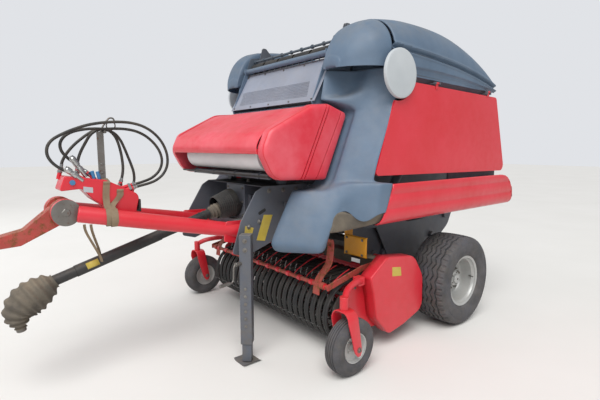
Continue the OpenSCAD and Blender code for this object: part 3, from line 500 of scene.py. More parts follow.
# ---------------------------------------------------------------- finishes of the CAD nodes
NODE_FINISH = {
    "axle": "grey", "front_walls": "grey", "front_drums": "steel", "front_frame": "grey", "drawbar": "red",
    "tow_bar": "worn_red", "gearbox": "grey", "pto_guard": "black", "pto_shaft": "black", "hose_console": "red",
    "jack_tube": "grey", "jack_leg": "grey", "mouldings": "slate", "hoods_front": "slate", "discs": "disc",
    "front_panel": "pale_grey", "net_box": "red_faded", "net_roll": "net", "net_lid": "red_faded",
    "guard_plate": "yellow", "tail_frame": "grey", "tail_rollers": "steel", "belts": "rubber",
    "hoods_rear": "slate", "skirts": "red", "door_left": "red", "door_right": "red", "ram_barrel_left": "grey",
    "ram_barrel_right": "grey", "ram_rod_left": "bright", "ram_rod_right": "bright", "tyre_left": "tyre",
    "tyre_right": "tyre", "rim_left": "silver", "rim_right": "silver", "pickup_frame": "red", "bands": "black",
    "reel": "steel", "wind_guard": "worn_red", "fork_left": "red", "fork_right": "red",
    "gauge_wheel_left": "tyre", "gauge_wheel_right": "tyre", "hose_a": "hose", "hose_b": "hose", "hose_c": "hose",
    "hose_d": "hose",
}
for node, finish in NODE_FINISH.items():
    slots = NODES[node].material_slots
    for s in slots:
        s.material = M[finish]


# Hoses: the routes of the source file, in metres
HOSES = {
    "hose_a": (0.075, [
        (-3.040, 1.500), (-3.085, 1.525), (-3.128, 1.553), (-3.163, 1.590), (-3.182, 1.635),
        (-3.177, 1.685), (-3.148, 1.727), (-3.095, 1.762), (-3.020, 1.798), (-2.930, 1.830),
        (-2.830, 1.850), (-2.730, 1.858), (-2.640, 1.854), (-2.555, 1.832), (-2.480, 1.787),
        (-2.420, 1.720), (-2.384, 1.635), (-2.382, 1.550), (-2.415, 1.480), (-2.470, 1.435),
        (-2.530, 1.412), (-2.595, 1.398), (-2.645, 1.386)]),
    "hose_b": (0.035, [
        (-2.950, 1.512), (-2.985, 1.545), (-3.025, 1.580), (-3.065, 1.618), (-3.092, 1.660),
        (-3.095, 1.708), (-3.068, 1.752), (-3.018, 1.783), (-2.950, 1.801), (-2.880, 1.808),
        (-2.812, 1.808), (-2.740, 1.812), (-2.665, 1.810), (-2.590, 1.795), (-2.520, 1.760),
        (-2.460, 1.705), (-2.420, 1.640), (-2.408, 1.570), (-2.432, 1.502), (-2.490, 1.450),
        (-2.565, 1.422), (-2.640, 1.404)]),
    "hose_c": (-0.015, [
        (-2.990, 1.535), (-2.985, 1.585), (-2.967, 1.640), (-2.935, 1.702), (-2.898, 1.762),
        (-2.856, 1.796), (-2.812, 1.808), (-2.768, 1.798), (-2.732, 1.762), (-2.710, 1.710),
        (-2.696, 1.650), (-2.688, 1.590), (-2.685, 1.530), (-2.692, 1.475), (-2.705, 1.430)]),
    "hose_d": (-0.055, [
        (-3.085, 1.540), (-3.073, 1.585), (-3.050, 1.628), (-3.020, 1.668), (-2.985, 1.705),
        (-2.945, 1.740), (-2.900, 1.774), (-2.856, 1.799), (-2.812, 1.808), (-2.762, 1.801),
        (-2.715, 1.776), (-2.680, 1.730), (-2.654, 1.670), (-2.632, 1.608), (-2.612, 1.550),
        (-2.597, 1.495), (-2.594, 1.440), (-2.604, 1.395)]),
}
HOSE_D = 0.020


def lay_hoses():
    for name, (x, yz) in HOSES.items():
        path = spline([(x, y, z) for y, z in yz], 4)
        p = Piece()
        p.tube(path, HOSE_D / 2, 14)
        o = p.make(name + "_hose", "hose", "root", "black_plastic", smooth=60)
        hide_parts(name)


lay_hoses()


# Road wheels
TYRE_R = 0.425
WHEEL_X = 1.08


def tread_profile():
    """Rows of (x from the middle, radius, how far the zigzag moves it) across the tyre."""
    rows = [(-0.143, 0.231, 0), (-0.150, 0.240, 0), (-0.163, 0.246, 0), (-0.176, 0.262, 0), (-0.183, 0.284, 0),
            (-0.187, 0.310, 0), (-0.188, 0.336, 0), (-0.186, 0.356, 0), (-0.183, 0.359, 0), (-0.184, 0.366, 0),
            (-0.180, 0.384, 0), (-0.173, 0.399, 0), (-0.163, 0.410, 0), (-0.151, 0.416, 0)]
    grooves = (-0.118, -0.071, -0.024, 0.024, 0.071, 0.118)
    for g in grooves:
        for dx, dr in ((-0.0090, 0), (-0.0068, -0.018), (0.0068, -0.018), (0.0090, 0)):
            x = g + dx
            rows.append((x, TYRE_R - 0.008 * (x / 0.148) ** 2 + dr, 1 if abs(g) < 0.1 else 0.6))
    return rows + [(-x, r, 0) for x, r, _ in reversed(rows[:14])]


def build_tyre(side):
    p = Piece()
    n = 288
    profile = tread_profile()
    rows = []
    for i in range(n):
        a = 2 * math.pi * i / n
        saw = (i % 12) / 12
        zig = 0.013 * (4 * abs(saw - 0.5) - 1)
        notch = 0.010 if i % 6 < 2 else 0
        row = []
        for x, r, w in profile:
            if 0.14 < abs(x) < 0.170 and r > 0.40:
                r -= notch
            row.append((side * (WHEEL_X + x + zig * w), r * math.cos(a), TYRE_R + r * math.sin(a)))
        rows.append(row)
    p.face_grid(rows, close_v=True)
    o = p.make("tread_left" if side > 0 else "tread_right", "tyre", "wheel_left" if side > 0 else "wheel_right",
               "tyre_rubber", smooth=28)
    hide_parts("tyre_left" if side > 0 else "tyre_right")


RIM_PROFILE = [
    # x from the wheel's middle, radius: outer lip, dish, hub cap
    (0.150, 0.2390), (0.154, 0.2415), (0.158, 0.2390), (0.157, 0.2320), (0.150, 0.2210), (0.128, 0.2130),
    (0.120, 0.2030), (0.060, 0.1960), (0.024, 0.1900), (0.006, 0.1800), (-0.004, 0.1650), (-0.006, 0.1500),
    (0.004, 0.1400), (0.024, 0.1260), (0.034, 0.1120), (0.036, 0.0800), (0.037, 0.0740), (0.058, 0.0720),
    (0.064, 0.0680), (0.066, 0.0500), (0.0665, 0.0460), (0.084, 0.0440), (0.090, 0.0380), (0.092, 0.0100)
]


def build_rim(side):
    body = "wheel_left" if side > 0 else "wheel_right"
    axis = (side, 0, 0)
    at = (side * WHEEL_X, 0, TYRE_R)
    p = Piece()
    p.lathe(RIM_PROFILE, at, axis, 96, closed=False)
    p.lathe([(-0.158, 0.2390), (-0.154, 0.2415), (-0.150, 0.2390), (-0.130, 0.2200), (0.150, 0.2235),
             (0.150, 0.2190), (-0.120, 0.2140), (-0.157, 0.2320)], at, axis, 96, closed=False)
    p.lathe([(-0.060, 0.036), (-0.060, 0.068), (-0.055, 0.070), (-0.010, 0.070), (-0.008, 0.100), (0.000, 0.150),
             (0.010, 0.190)], at, axis, 48, closed=False)
    o = p.make("dish_left" if side > 0 else "dish_right", "silver", body, "silver_paint", smooth=32)
    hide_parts("rim_left" if side > 0 else "rim_right")
    p = Piece()
    for k in range(8):
        a = 2 * math.pi * (k + 0.5) / 8
        p.bolt((side * (WHEEL_X + 0.0345), 0.096 * math.cos(a), TYRE_R + 0.096 * math.sin(a)), axis, 0.0125, 0.017)
    for k in range(5):
        a = 2 * math.pi * k / 5
        p.bolt((side * (WHEEL_X + 0.0655), 0.058 * math.cos(a), TYRE_R + 0.058 * math.sin(a)), axis, 0.005, 0.005)
    p.tube([(side * (WHEEL_X + 0.10), 0.190, TYRE_R), (side * (WHEEL_X + 0.130), 0.186, TYRE_R),
            (side * (WHEEL_X + 0.150), 0.180, TYRE_R)], 0.006, 10)
    p.make("wheel_bolts_left" if side > 0 else "wheel_bolts_right", "steel", body, "bare_steel")


for wheel_side in (1, -1):
    build_tyre(wheel_side)
    build_rim(wheel_side)


# Moulded side shells
def round_path(points, radii, n=4):
    """An open path with each inner corner cut round; every corner gives n + 1 points."""
    pts = [Vector(p) for p in points]
    out = [pts[0]]
    for i in range(1, len(pts) - 1):
        a, b, c = pts[i - 1], pts[i], pts[i + 1]
        r = min(radii[i], 0.45 * (a - b).length, 0.45 * (c - b).length)
        s, e = b + (a - b).normalized() * r, b + (c - b).normalized() * r
        out += [(1 - t) ** 2 * s + 2 * t * (1 - t) * b + t * t * e for t in (k / n for k in range(n + 1))]
    return out + [pts[-1]]


def blend_rows(rows, steps=4):
    """Rows of equal length joined by smooth in-between rows."""
    columns = [spline([row[j] for row in rows], steps) for j in range(len(rows[0]))]
    return [[column[i] for column in columns] for i in range(len(columns[0]))]


# Cage of the side moulding: 11 places across, from its inner edge to the rear of its outer side
BLOCK_ROWS = [
    # (x, y, z) of each place, from the block's underside up to the shelf under the net box; the lobe's lip is in the sixth row
    [(.600, -1.55, .900), (.640, -1.760, .884), (.750, -1.665, .884), (.860, -1.570, .884), (.935, -1.520, .888), (.948, -1.530, .93),
     (.962, -1.400, 1.258), (1.050, -1.296, 1.130), (1.116, -1.240, 1.116), (1.170, -1.205, 1.180), (1.188, -1.150, 1.188)],
    [(.592, -1.66, .880), (.640, -1.822, .868), (.750, -1.728, .868), (.860, -1.640, .868), (.942, -1.580, .872), (.956, -1.548, .90),
     (.965, -1.396, 1.262), (1.050, -1.302, 1.126), (1.118, -1.250, 1.111), (1.178, -1.214, 1.176), (1.196, -1.146, 1.186)],
    [(.590, -1.70, .930), (.638, -1.860, .930), (.750, -1.762, .928), (.860, -1.672, .926), (.944, -1.598, .924), (.962, -1.558, .93),
     (.968, -1.394, 1.264), (1.050, -1.306, 1.124), (1.119, -1.254, 1.109), (1.181, -1.220, 1.175), (1.199, -1.145, 1.186)],
    [(.590, -1.70, .965), (.638, -1.862, .962), (.750, -1.764, .960), (.860, -1.672, .957), (.942, -1.590, .953), (.963, -1.545, .962),
     (.970, -1.393, 1.266), (1.050, -1.310, 1.123), (1.120, -1.258, 1.108), (1.183, -1.226, 1.175), (1.200, -1.144, 1.187)],
    [(.590, -1.66, 1.060), (.639, -1.808, 1.060), (.750, -1.710, 1.060), (.860, -1.618, 1.060), (.940, -1.548, 1.060), (.964, -1.500, 1.06),
     (.972, -1.391, 1.268), (1.049, -1.314, 1.123), (1.120, -1.262, 1.109), (1.185, -1.231, 1.176), (1.201, -1.143, 1.188)],
    [(.590, -1.61, 1.150), (.640, -1.757, 1.150), (.750, -1.660, 1.150), (.860, -1.568, 1.150), (.940, -1.505, 1.150), (.965, -1.455, 1.15),
     (.976, -1.389, 1.271), (1.048, -1.316, 1.130), (1.120, -1.265, 1.117), (1.187, -1.233, 1.186), (1.201, -1.138, 1.196)],
    [(.590, -1.57, 1.225), (.640, -1.716, 1.225), (.750, -1.620, 1.225), (.860, -1.530, 1.228), (.945, -1.455, 1.232), (.962, -1.426, 1.238),
     (.992, -1.378, 1.278), (1.055, -1.316, 1.200), (1.124, -1.262, 1.192), (1.190, -1.226, 1.226), (1.200, -1.122, 1.228)],
    [(.590, -1.54, 1.290), (.640, -1.678, 1.290), (.750, -1.584, 1.290), (.860, -1.492, 1.294), (.950, -1.416, 1.300), (.978, -1.392, 1.300),
     (1.010, -1.358, 1.312), (1.064, -1.302, 1.290), (1.130, -1.242, 1.288), (1.192, -1.210, 1.298), (1.200, -1.096, 1.300)],
    [(.590, -1.51, 1.336), (.640, -1.652, 1.336), (.750, -1.558, 1.336), (.850, -1.468, 1.338), (.930, -1.405, 1.352), (.980, -1.366, 1.356),
     (1.016, -1.332, 1.360), (1.070, -1.280, 1.364), (1.134, -1.222, 1.366), (1.193, -1.198, 1.370), (1.200, -1.074, 1.368)],
    [(.592, -1.50, 1.344), (.642, -1.628, 1.345), (.750, -1.536, 1.345), (.842, -1.450, 1.347), (.880, -1.420, 1.370), (.980, -1.346, 1.396),
     (1.020, -1.312, 1.402), (1.074, -1.262, 1.406), (1.138, -1.206, 1.407), (1.192, -1.190, 1.407), (1.200, -1.062, 1.400)],
    [(.594, -1.40, 1.346), (.650, -1.420, 1.348), (.750, -1.412, 1.348), (.832, -1.405, 1.352), (.864, -1.392, 1.392), (.980, -1.326, 1.408),
     (1.020, -1.290, 1.411), (1.072, -1.244, 1.412), (1.132, -1.196, 1.412), (1.180, -1.176, 1.412), (1.192, -1.060, 1.408)],
]
COLUMN_ROWS = [
    [(.655, -1.372, 1.404), (.700, -1.368, 1.404), (.770, -1.362, 1.404), (.836, -1.356, 1.408), (.862, -1.378, 1.412), (.930, -1.332, 1.414),
     (.990, -1.288, 1.414), (1.050, -1.246, 1.414), (1.085, -1.222, 1.414), (1.106, -1.205, 1.414), (1.112, -1.190, 1.414)],
    [(.655, -1.345, 1.450), (.700, -1.342, 1.450), (.770, -1.336, 1.450), (.840, -1.328, 1.450), (.862, -1.362, 1.450), (.930, -1.322, 1.450),
     (.990, -1.270, 1.450), (1.050, -1.228, 1.450), (1.085, -1.205, 1.450), (1.106, -1.194, 1.450), (1.112, -1.182, 1.450)],
    [(.655, -1.300, 1.560), (.700, -1.300, 1.560), (.770, -1.292, 1.560), (.842, -1.280, 1.560), (.860, -1.315, 1.560), (.930, -1.270, 1.560),
     (.990, -1.232, 1.560), (1.050, -1.194, 1.560), (1.085, -1.176, 1.560), (1.106, -1.162, 1.560), (1.112, -1.148, 1.560)],
    [(.655, -1.220, 1.750), (.700, -1.220, 1.750), (.770, -1.212, 1.750), (.842, -1.200, 1.750), (.860, -1.236, 1.750), (.930, -1.192, 1.750),
     (.990, -1.152, 1.750), (1.050, -1.114, 1.750), (1.085, -1.094, 1.750), (1.106, -1.082, 1.750), (1.112, -1.070, 1.750)],
    [(.655, -1.144, 1.925), (.700, -1.144, 1.925), (.770, -1.138, 1.925), (.842, -1.128, 1.925), (.862, -1.162, 1.928), (.930, -1.118, 1.930),
     (.990, -1.080, 1.930), (1.050, -1.044, 1.930), (1.085, -1.022, 1.930), (1.106, -1.010, 1.930), (1.112, -0.998, 1.930)],
    [(.655, -1.120, 1.985), (.700, -1.120, 1.985), (.770, -1.112, 1.985), (.838, -1.104, 1.975), (.864, -1.142, 1.966), (.930, -1.100, 1.974),
     (.990, -1.058, 1.978), (1.050, -1.020, 1.980), (1.085, -0.998, 1.980), (1.106, -0.986, 1.980), (1.112, -0.975, 1.980)],
    [(.655, -1.320, 2.046), (.700, -1.306, 2.044), (.770, -1.252, 2.030), (.830, -1.196, 2.012), (.870, -1.146, 1.998), (.930, -1.092, 2.004),
     (.990, -1.042, 2.008), (1.050, -1.004, 2.010), (1.085, -0.984, 2.010), (1.106, -0.972, 2.010), (1.112, -0.962, 2.010)],
    [(.655, -1.322, 2.070), (.690, -1.300, 2.070), (.760, -1.240, 2.080), (.830, -1.178, 2.096), (.885, -1.128, 2.110), (.935, -1.068, 2.112),
     (.990, -1.010, 2.090), (1.050, -0.972, 2.080), (1.085, -0.958, 2.080), (1.106, -0.950, 2.080), (1.112, -0.942, 2.080)],
    [(.655, -1.312, 2.100), (.682, -1.292, 2.096), (.735, -1.160, 2.098), (.800, -1.110, 2.110), (.872, -1.098, 2.136), (.932, -1.060, 2.160),
     (.990, -0.996, 2.150), (1.050, -0.964, 2.150), (1.085, -0.952, 2.150), (1.106, -0.946, 2.150), (1.112, -0.940, 2.150)],
    [(.655, -1.295, 2.190), (.681, -1.275, 2.190), (.730, -1.110, 2.190), (.800, -1.068, 2.190), (.880, -1.066, 2.200), (.930, -1.060, 2.215),
     (.990, -1.002, 2.215), (1.050, -0.972, 2.215), (1.085, -0.958, 2.215), (1.106, -0.952, 2.215), (1.112, -0.945, 2.215)],
    [(.655, -1.272, 2.300), (.680, -1.252, 2.300), (.730, -1.096, 2.300), (.800, -1.046, 2.300), (.880, -1.040, 2.300), (.930, -1.046, 2.300),
     (.990, -1.006, 2.300), (1.050, -0.984, 2.300), (1.085, -0.970, 2.300), (1.106, -0.962, 2.300), (1.112, -0.955, 2.300)],
]


def crease(bm, sharp=0.9, angle=30):
    """Keeps the edges of a cage that turn by more than the angle fairly crisp when it is smoothed."""
    layer = bm.edges.layers.float.get("crease_edge") or bm.edges.layers.float.new("crease_edge")
    for e in bm.edges:
        if len(e.link_faces) == 2 and e.calc_face_angle(0) > math.radians(angle):
            e[layer] = sharp


def build_moulding():
    p = Piece()
    p.face_grid(BLOCK_ROWS + COLUMN_ROWS)
    crease(p.bm, 0.70, 27)
    o = p.make("side_moulding", "slate", "root", "slate_plastic", smooth=40, mirror=True, thick=0.010, sub=3)
    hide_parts("mouldings")
    # The lobe's underside takes the dark dusty rubber finish instead of the slate: dust, and painted shade under the
    # lobe.
    p = Piece()
    p.face_grid([[(.966, -1.470, 1.150), (.975, -1.400, 1.215), (1.052, -1.302, 1.142), (1.118, -1.248, 1.128), (1.172, -1.212, 1.180),
                  (1.186, -1.150, 1.190)],
                 [(.968, -1.480, 1.080), (.990, -1.400, 1.100), (1.046, -1.290, 1.085), (1.100, -1.226, 1.090), (1.140, -1.185, 1.110),
                  (1.172, -1.146, 1.140)],
                 [(.966, -1.512, 1.030), (.980, -1.420, 1.030), (1.010, -1.330, 1.042), (1.059, -1.260, 1.060), (1.118, -1.200, 1.084),
                  (1.157, -1.150, 1.100)],
                 [(.950, -1.490, 1.034), (.962, -1.400, 1.034), (.990, -1.310, 1.046), (1.040, -1.240, 1.064), (1.100, -1.180, 1.088),
                  (1.140, -1.130, 1.104)]])
    p.make("moulding_underside", "dusty_black", "root", "slate_plastic", smooth=60, mirror=True, thick=0.004, sub=2)
    p = Piece()
    p.box((0.465, -1.558, 1.192), (0.790, -1.547, 1.228))
    p.box((0.612, -1.268, 1.602), (0.688, -1.248, 1.610))
    p.make("moulding_bracket", "grey", "root", "grey_paint", bevel=0.002, mirror=True)


HOOD_IN = 0.655
HOOD_FRONT = [
    # y, foot height, x and height of the crown, outer x, top of the flat side
    (-1.296, 2.296, 0.720, 2.400, 0.850, 2.330), (-1.262, 2.296, 0.750, 2.490, 0.920, 2.350),
    (-1.190, 2.296, 0.780, 2.600, 1.010, 2.380), (-1.100, 2.296, 0.800, 2.665, 1.075, 2.400),
    (-0.996, 2.296, 0.830, 2.700, 1.104, 2.430)]
HOOD_REAR = [
    (-0.960, 2.300, 0.835, 2.705, 1.106, 2.440), (-0.700, 2.256, 0.850, 2.735, 1.110, 2.462),
    (-0.300, 2.246, 0.850, 2.738, 1.114, 2.440), (0.000, 2.240, 0.850, 2.703, 1.116, 2.412),
    (0.300, 2.236, 0.850, 2.620, 1.112, 2.365), (0.520, 2.234, 0.860, 2.510, 1.108, 2.325),
    (0.690, 2.232, 0.885, 2.370, 1.100, 2.286)]
STEP_LINE = [(-1.30, 2.475), (-0.828, 2.466), (-0.400, 2.443), (-0.094, 2.416), (0.248, 2.375), (0.501, 2.328),
             (0.719, 2.285)]
GROOVE_LINE = [(-1.30, 2.318), (-0.690, 2.314), (-0.406, 2.314), (0.008, 2.296), (0.362, 2.265), (0.707, 2.235)]


def along(line, y):
    for (y0, z0), (y1, z1) in zip(line, line[1:]):
        if y <= y1:
            return z0 + (z1 - z0) * max(0, (y - y0) / (y1 - y0))
    return line[-1][1]


def smooth_step(t):
    t = min(1, max(0, t))
    return t * t * (3 - 2 * t)


def bump(t):
    return max(0.0, 1 - t * t) ** 2


def hood_section(row, steps):
    """One section of a hood: inner side, crown, quarter round, and the stepped outer side."""
    y, low, xc, top, x_out, side = row
    path = [(HOOD_IN, low + (top - 0.060 - low) * k / 4) for k in range(4)]
    path += [(v.x, v.y) for v in round_path([(HOOD_IN, top - 0.060, 0), (HOOD_IN + 0.012, top - 0.018, 0),
                                             (HOOD_IN + 0.06, top - 0.006, 0), (xc, top, 0)], (0, 0.05, 0.05, 0))]
    outer = []
    for k in range(1, 41):
        t = math.radians(90 * k / 40)
        outer.append((xc + (x_out - xc) * math.sin(t), side + (top - side) * math.cos(t), math.sin(t), math.cos(t)))
    for k in range(1, 31):
        outer.append((x_out, side - (side - low) * k / 30, 1, 0))
    for x, z, nx, nz in outer:
        d = 0.0
        if steps:
            a, b = along(STEP_LINE, y), along(GROOVE_LINE, y)
            d = 0.008 * bump((a + 0.016 - z) / 0.016) - 0.026 * bump((a - 0.014 - z) / 0.022)
            d += 0.009 * bump((a - 0.040 - z) / 0.016) + 0.003 * smooth_step((a - 0.040 - z) / 0.02)
            d -= 0.016 * bump((b - 0.002 - z) / 0.018) + 0.022 * smooth_step((b - z) / 0.026)
        path.append((x + d * nx, z + d * nz))
    return [Vector((x, y, z)) for x, z in path]


def build_hood(name, rows, body, node, steps):
    fine = [[v.x for v in col] for col in zip(*[spline([(v, 0, 0) for v in col], 6) for col in zip(*rows)])]
    p = Piece()
    sections = [hood_section(r, steps) for r in fine]
    if not steps:
        first, low = sections[0], rows[0][1]
        middle = (rows[0][4] + HOOD_IN) / 2
        sections = [[Vector((middle + (v.x - middle) * (0.55 + 0.45 * k), v.y - d, low + (v.z - low) * k)) for v in first]
                    for k, d in ((0.02, 0.010), (0.30, 0.0135), (0.62, 0.012), (0.86, 0.007), (0.96, 0.003))] + sections
    p.face_grid(sections)
    o = p.make(name, "slate", body, "slate_plastic", smooth=30, mirror=True, thick=0.012)
    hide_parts(node)


build_moulding()
build_hood("front_hood", HOOD_FRONT, "root", "hoods_front", False)
build_hood("rear_hood", HOOD_REAR, "tailgate", "hoods_rear", True)

# Round disc on each hood, bare
DISC = Vector((1.126, -0.929, 2.248))
DISC_R = 0.190
DISC_PEG = (-0.890, 2.350)


def build_disc():
    p = Piece()
    p.lathe([(0, DISC_R - 0.004), (0.004, DISC_R), (0.022, DISC_R), (0.028, DISC_R - 0.003), (0.031, DISC_R - 0.012),
             (0.030, DISC_R - 0.030), (0.033, DISC_R - 0.060), (0.034, 0.05), (0.034, 0.001)], DISC, (1, 0, 0), 96)
    p.rod((1.1076, *DISC_PEG), (DISC.x + 0.001, *DISC_PEG), 0.025, 24)
    o = p.make("emblem_disc", "disc", "tailgate", "pale_disc", smooth=30, mirror=True)
    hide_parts("discs")


build_disc()
DOOR_X = 1.120


def door_outline(inset):
    """The door's edge, with the round cut for the disc taken as an arc."""
    cut = DISC_R + 0.016 + inset
    lo, hi = math.radians(-99), math.radians(-12.4)
    arc = [(DISC.y + cut * math.cos(lo + (hi - lo) * k / 24), DISC.z + cut * math.sin(lo + (hi - lo) * k / 24))
           for k in range(25)]
    pts = rounded([(*arc[-1], 0), (0.680 - inset, 2.181 - inset, 0.04), (0.930 - inset, 1.434 + inset, 0.06),
                   (-1.176 + 1.4 * inset, 1.462 + inset, 0.03), (*arc[0], 0)], 5)
    return pts[1:-1] + arc


def build_door(side):
    name = "left" if side > 0 else "right"
    p = Piece()
    face = [(side * DOOR_X, y, z) for y, z in door_outline(0)]
    edge = [(side * (DOOR_X - 0.055), y, z) for y, z in door_outline(0)]
    lip = [(side * (DOOR_X - 0.055), y, z) for y, z in door_outline(0.022)]
    vs = p.face_grid([face, edge, lip], close_u=True)
    p.bm.faces.new(vs[0])
    o = p.make("side_panel_" + name, "red", "side_door_" + name, "red_paint", smooth=35, thick=0.004, bevel=0.009,
               segments=4)
    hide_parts("door_" + name)
    p = Piece()
    for y in (-0.420, 0.480):
        p.box((side * 1.1205, y + 0.002, 2.172), (side * 1.124, y + 0.038, 2.222))
        p.rod((side * 1.125, y, 2.224), (side * 1.125, y + 0.040, 2.224), 0.009, 20)
    p.make("door_knuckles_" + name, "red", "side_door_" + name, "red_paint", bevel=0.001)


for door_side in (1, -1):
    build_door(door_side)


def build_skirt():
    """Lower side panel: a pressed sheet with long folds, round at its rear end."""
    p = Piece()
    section = [(1.092, 1.386), (1.170, 1.397), (1.186, 1.398), (1.196, 1.390), (1.200, 1.374), (1.200, 1.338),
               (1.194, 1.326), (1.194, 1.312), (1.200, 1.300), (1.200, 1.226), (1.195, 1.214), (1.195, 1.200),
               (1.200, 1.188), (1.200, 1.150), (1.195, 1.128), (1.184, 1.106), (1.164, 1.090), (1.140, 1.082)]
    ys = [-1.180, -1.176, -1.166, -1.150, -1.10, -1.04, -0.98, -0.9] + [-0.80 + 0.1 * k for k in range(16)]
    ys += [0.74, 0.78, 0.82, 0.86, 0.90, 0.93, 0.955, 0.972, 0.980]
    rows = []
    for y in ys:
        tuck = 0.014 * (1 - math.sqrt(max(0, 1 - max(0, (-1.150 - y) / 0.030) ** 2)))
        drop = 0.235 * (1 - math.sqrt(max(0, 1 - max(0, (y - 0.745) / 0.235) ** 2)))
        lean = 0.133 * max(0, (-0.80 - y) / 0.38)
        rows.append([(x - tuck, y + lean * max(0, min(1, (z - 1.10) / 0.29)), min(z, 1.398 - drop)) for x, z in section])
    p.face_grid(rows)
    o = p.make("lower_panel", "red", "tailgate", "red_paint", smooth=30, mirror=True, thick=0.008)
    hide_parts("skirts")
    p = Piece()
    p.box((1.036, -0.050, 1.372), (1.054, 0.860, 1.468))
    for y in (-0.02, 0.20, 0.42, 0.63, 0.72):
        p.box((1.040, y - 0.015, 1.374), (1.110, y + 0.015, 1.384))
    # The rail takes the darker slate: painted shade under the door's edge.
    p.make("door_rest_rail", "slate_shaded", "tailgate", "slate_plastic", mirror=True, bevel=0.002)


build_skirt()


# Strip inside the gap between the rear hoods and the side doors, dark with painted shade from the darker slate
def build_gap_strip():
    ys = [-0.690 + 0.1 * k for k in range(14)]
    p = Piece()
    rows = []
    for y in ys:
        top = 2.214 - (y + 0.660) * 0.024 / 1.340
        low = along([(-0.96, 2.300), (-0.7, 2.256), (-0.3, 2.246), (0, 2.240), (0.3, 2.236), (0.69, 2.232)], y)
        rows.append([(1.094, y, low + 0.020), (1.080, y, low + 0.004), (1.052, y, top + 0.012), (1.050, y, top - 0.070)])
    p.face_grid(rows)
    p.make("hood_inner_strip", "slate_shaded", "tailgate", "slate_plastic", mirror=True, thick=0.003, smooth=50)


build_gap_strip()


# Net wrap box
NET_X, NET_T = 0.800, 0.080
NET_EDGE = [(-1.524, 2.005, 0.15), (-1.925, 1.802, 0.09), (-1.995, 1.650, 0.12), (-1.880, 1.440, 0.15),
            (-1.375, 1.422, 0.025), (-1.148, 1.955, 0.03), (-1.350, 2.020, 0.06)]


def cut_by_line(piece, a, b, keep):
    """Cuts the piece along the line a-b of the side view and keeps one side, closed again."""
    d = Vector((0, b[0] - a[0], b[1] - a[1])).normalized()
    normal = X_AXIS.cross(d) * keep
    geom = piece.bm.verts[:] + piece.bm.edges[:] + piece.bm.faces[:]
    cut = bmesh.ops.bisect_plane(piece.bm, geom=geom, plane_co=(0, a[0], a[1]), plane_no=normal, clear_inner=True)
    edges = [e for e in cut["geom_cut"] if isinstance(e, bmesh.types.BMEdge)]
    bmesh.ops.holes_fill(piece.bm, edges=edges, sides=0)


GROOVE_A = ((-1.364, 2.009), (-1.629, 1.435))
GROOVE_B = ((-1.211, 1.964), (-1.481, 1.431))


def beside(line, d):
    """The same line moved by d rearward."""
    (y0, z0), (y1, z1) = line
    return (y0 + d, z0), (y1 + d, z1)


CAP_CROWN = [(-0.001, 0), (0.030, 0), (0.048, 0.003), (0.062, 0.009), (0.072, 0.019), (0.0775, 0.032), (0.0805, 0.060),
             (0.0815, 0.120)]


def crowned_cap(p):
    """A box end whose outer face swells toward its middle."""
    edge = rounded(NET_EDGE, 10)
    middle = Vector((-1.600, 1.690))
    rows = []
    for x, inset in CAP_CROWN:
        ring = []
        for y, z in edge:
            v = Vector((y, z)) - middle
            q = middle + v * (1 - inset / v.length)
            ring.append((NET_X - NET_T + x, q.x, q.y))
        rows.append(ring)
    vs = p.face_grid(rows, close_u=True)
    p.bm.faces.new(vs[0][::-1])
    p.bm.faces.new(vs[-1])
    bmesh.ops.recalc_face_normals(p.bm, faces=p.bm.faces)


def build_net_ends():
    core = Piece()
    middle = Vector((0, -1.600, 1.690))
    edge = [middle + (Vector((0, y, z)) - middle) * 0.988 for y, z in rounded(NET_EDGE, 8)]
    core.plate(NET_X - NET_T, NET_T - 0.016, [(v.y, v.z) for v in edge])
    core.make("net_end_core", "red", "root", "red_paint", bevel=0.012, mirror=True, segments=3)
    cuts = [(None, beside(GROOVE_A, -0.022)), (beside(GROOVE_A, -0.010), beside(GROOVE_A, 0.010)),
            (beside(GROOVE_A, 0.022), beside(GROOVE_B, -0.018)), (beside(GROOVE_B, -0.008), None)]
    for k, (lo, hi) in enumerate(cuts):
        p = Piece()
        crowned_cap(p)
        if lo:
            cut_by_line(p, lo[0], lo[1], 1)
        if hi:
            cut_by_line(p, hi[0], hi[1], -1)
        o = p.make("net_cap_%d" % k, "cap", "root", "red_paint", bevel=0.004, mirror=True, segments=3, smooth=50)
        if k == 0:
            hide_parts("net_box")


def build_net_trough():
    p = Piece()
    inner_x = NET_X - NET_T
    path = [(-1.905, 1.468), (-1.893, 1.456), (-1.870, 1.452), (-1.400, 1.434), (-1.378, 1.446), (-1.336, 1.600)]
    p.face_grid([[(x, y, z) for y, z in path] for x in (-inner_x, -inner_x / 2, 0, inner_x / 2, inner_x)])
    p.make("net_trough", "black", "root", "red_paint", thick=0.008, bevel=0.003)
    p = Piece()
    for k in range(72):
        x = -0.71 + 0.02 * k
        p.box((x - 0.0035, -1.870, 1.458), (x + 0.0035, -1.420, 1.464))
    for y in (-1.86, -1.76, -1.66, -1.56, -1.46):
        p.box((-0.715, y - 0.006, 1.452), (0.715, y + 0.006, 1.459))
    p.make("net_grille", "grey", "root", "grey_paint", bevel=0.001, smooth=30)
    p = Piece()
    p.rod((-0.560, -1.835, 1.458), (0.660, -1.835, 1.458), 0.020, 24)
    for x in (-0.54, -0.18, 0.18, 0.54):
        p.prism([(x - 0.006, -1.862, 1.440), (x - 0.006, -1.806, 1.440), (x - 0.006, -1.800, 1.470),
                 (x - 0.006, -1.835, 1.488), (x - 0.006, -1.868, 1.470)], (0.012, 0, 0))
        p.bolt((x + 0.006, -1.822, 1.450), (1, 0, 0), 0.006, 0.006)
    p.rod((-inner_x, -1.400, 1.985), (inner_x, -1.400, 1.985), 0.008, 16)
    p.make("net_pipe", "grey", "root", "grey_paint", bevel=0.001)
    p = Piece()
    p.box((0.370, -1.560, 1.370), (0.430, -1.500, 1.446))
    p.make("net_legs", "grey", "root", "grey_paint", bevel=0.003, mirror=True)


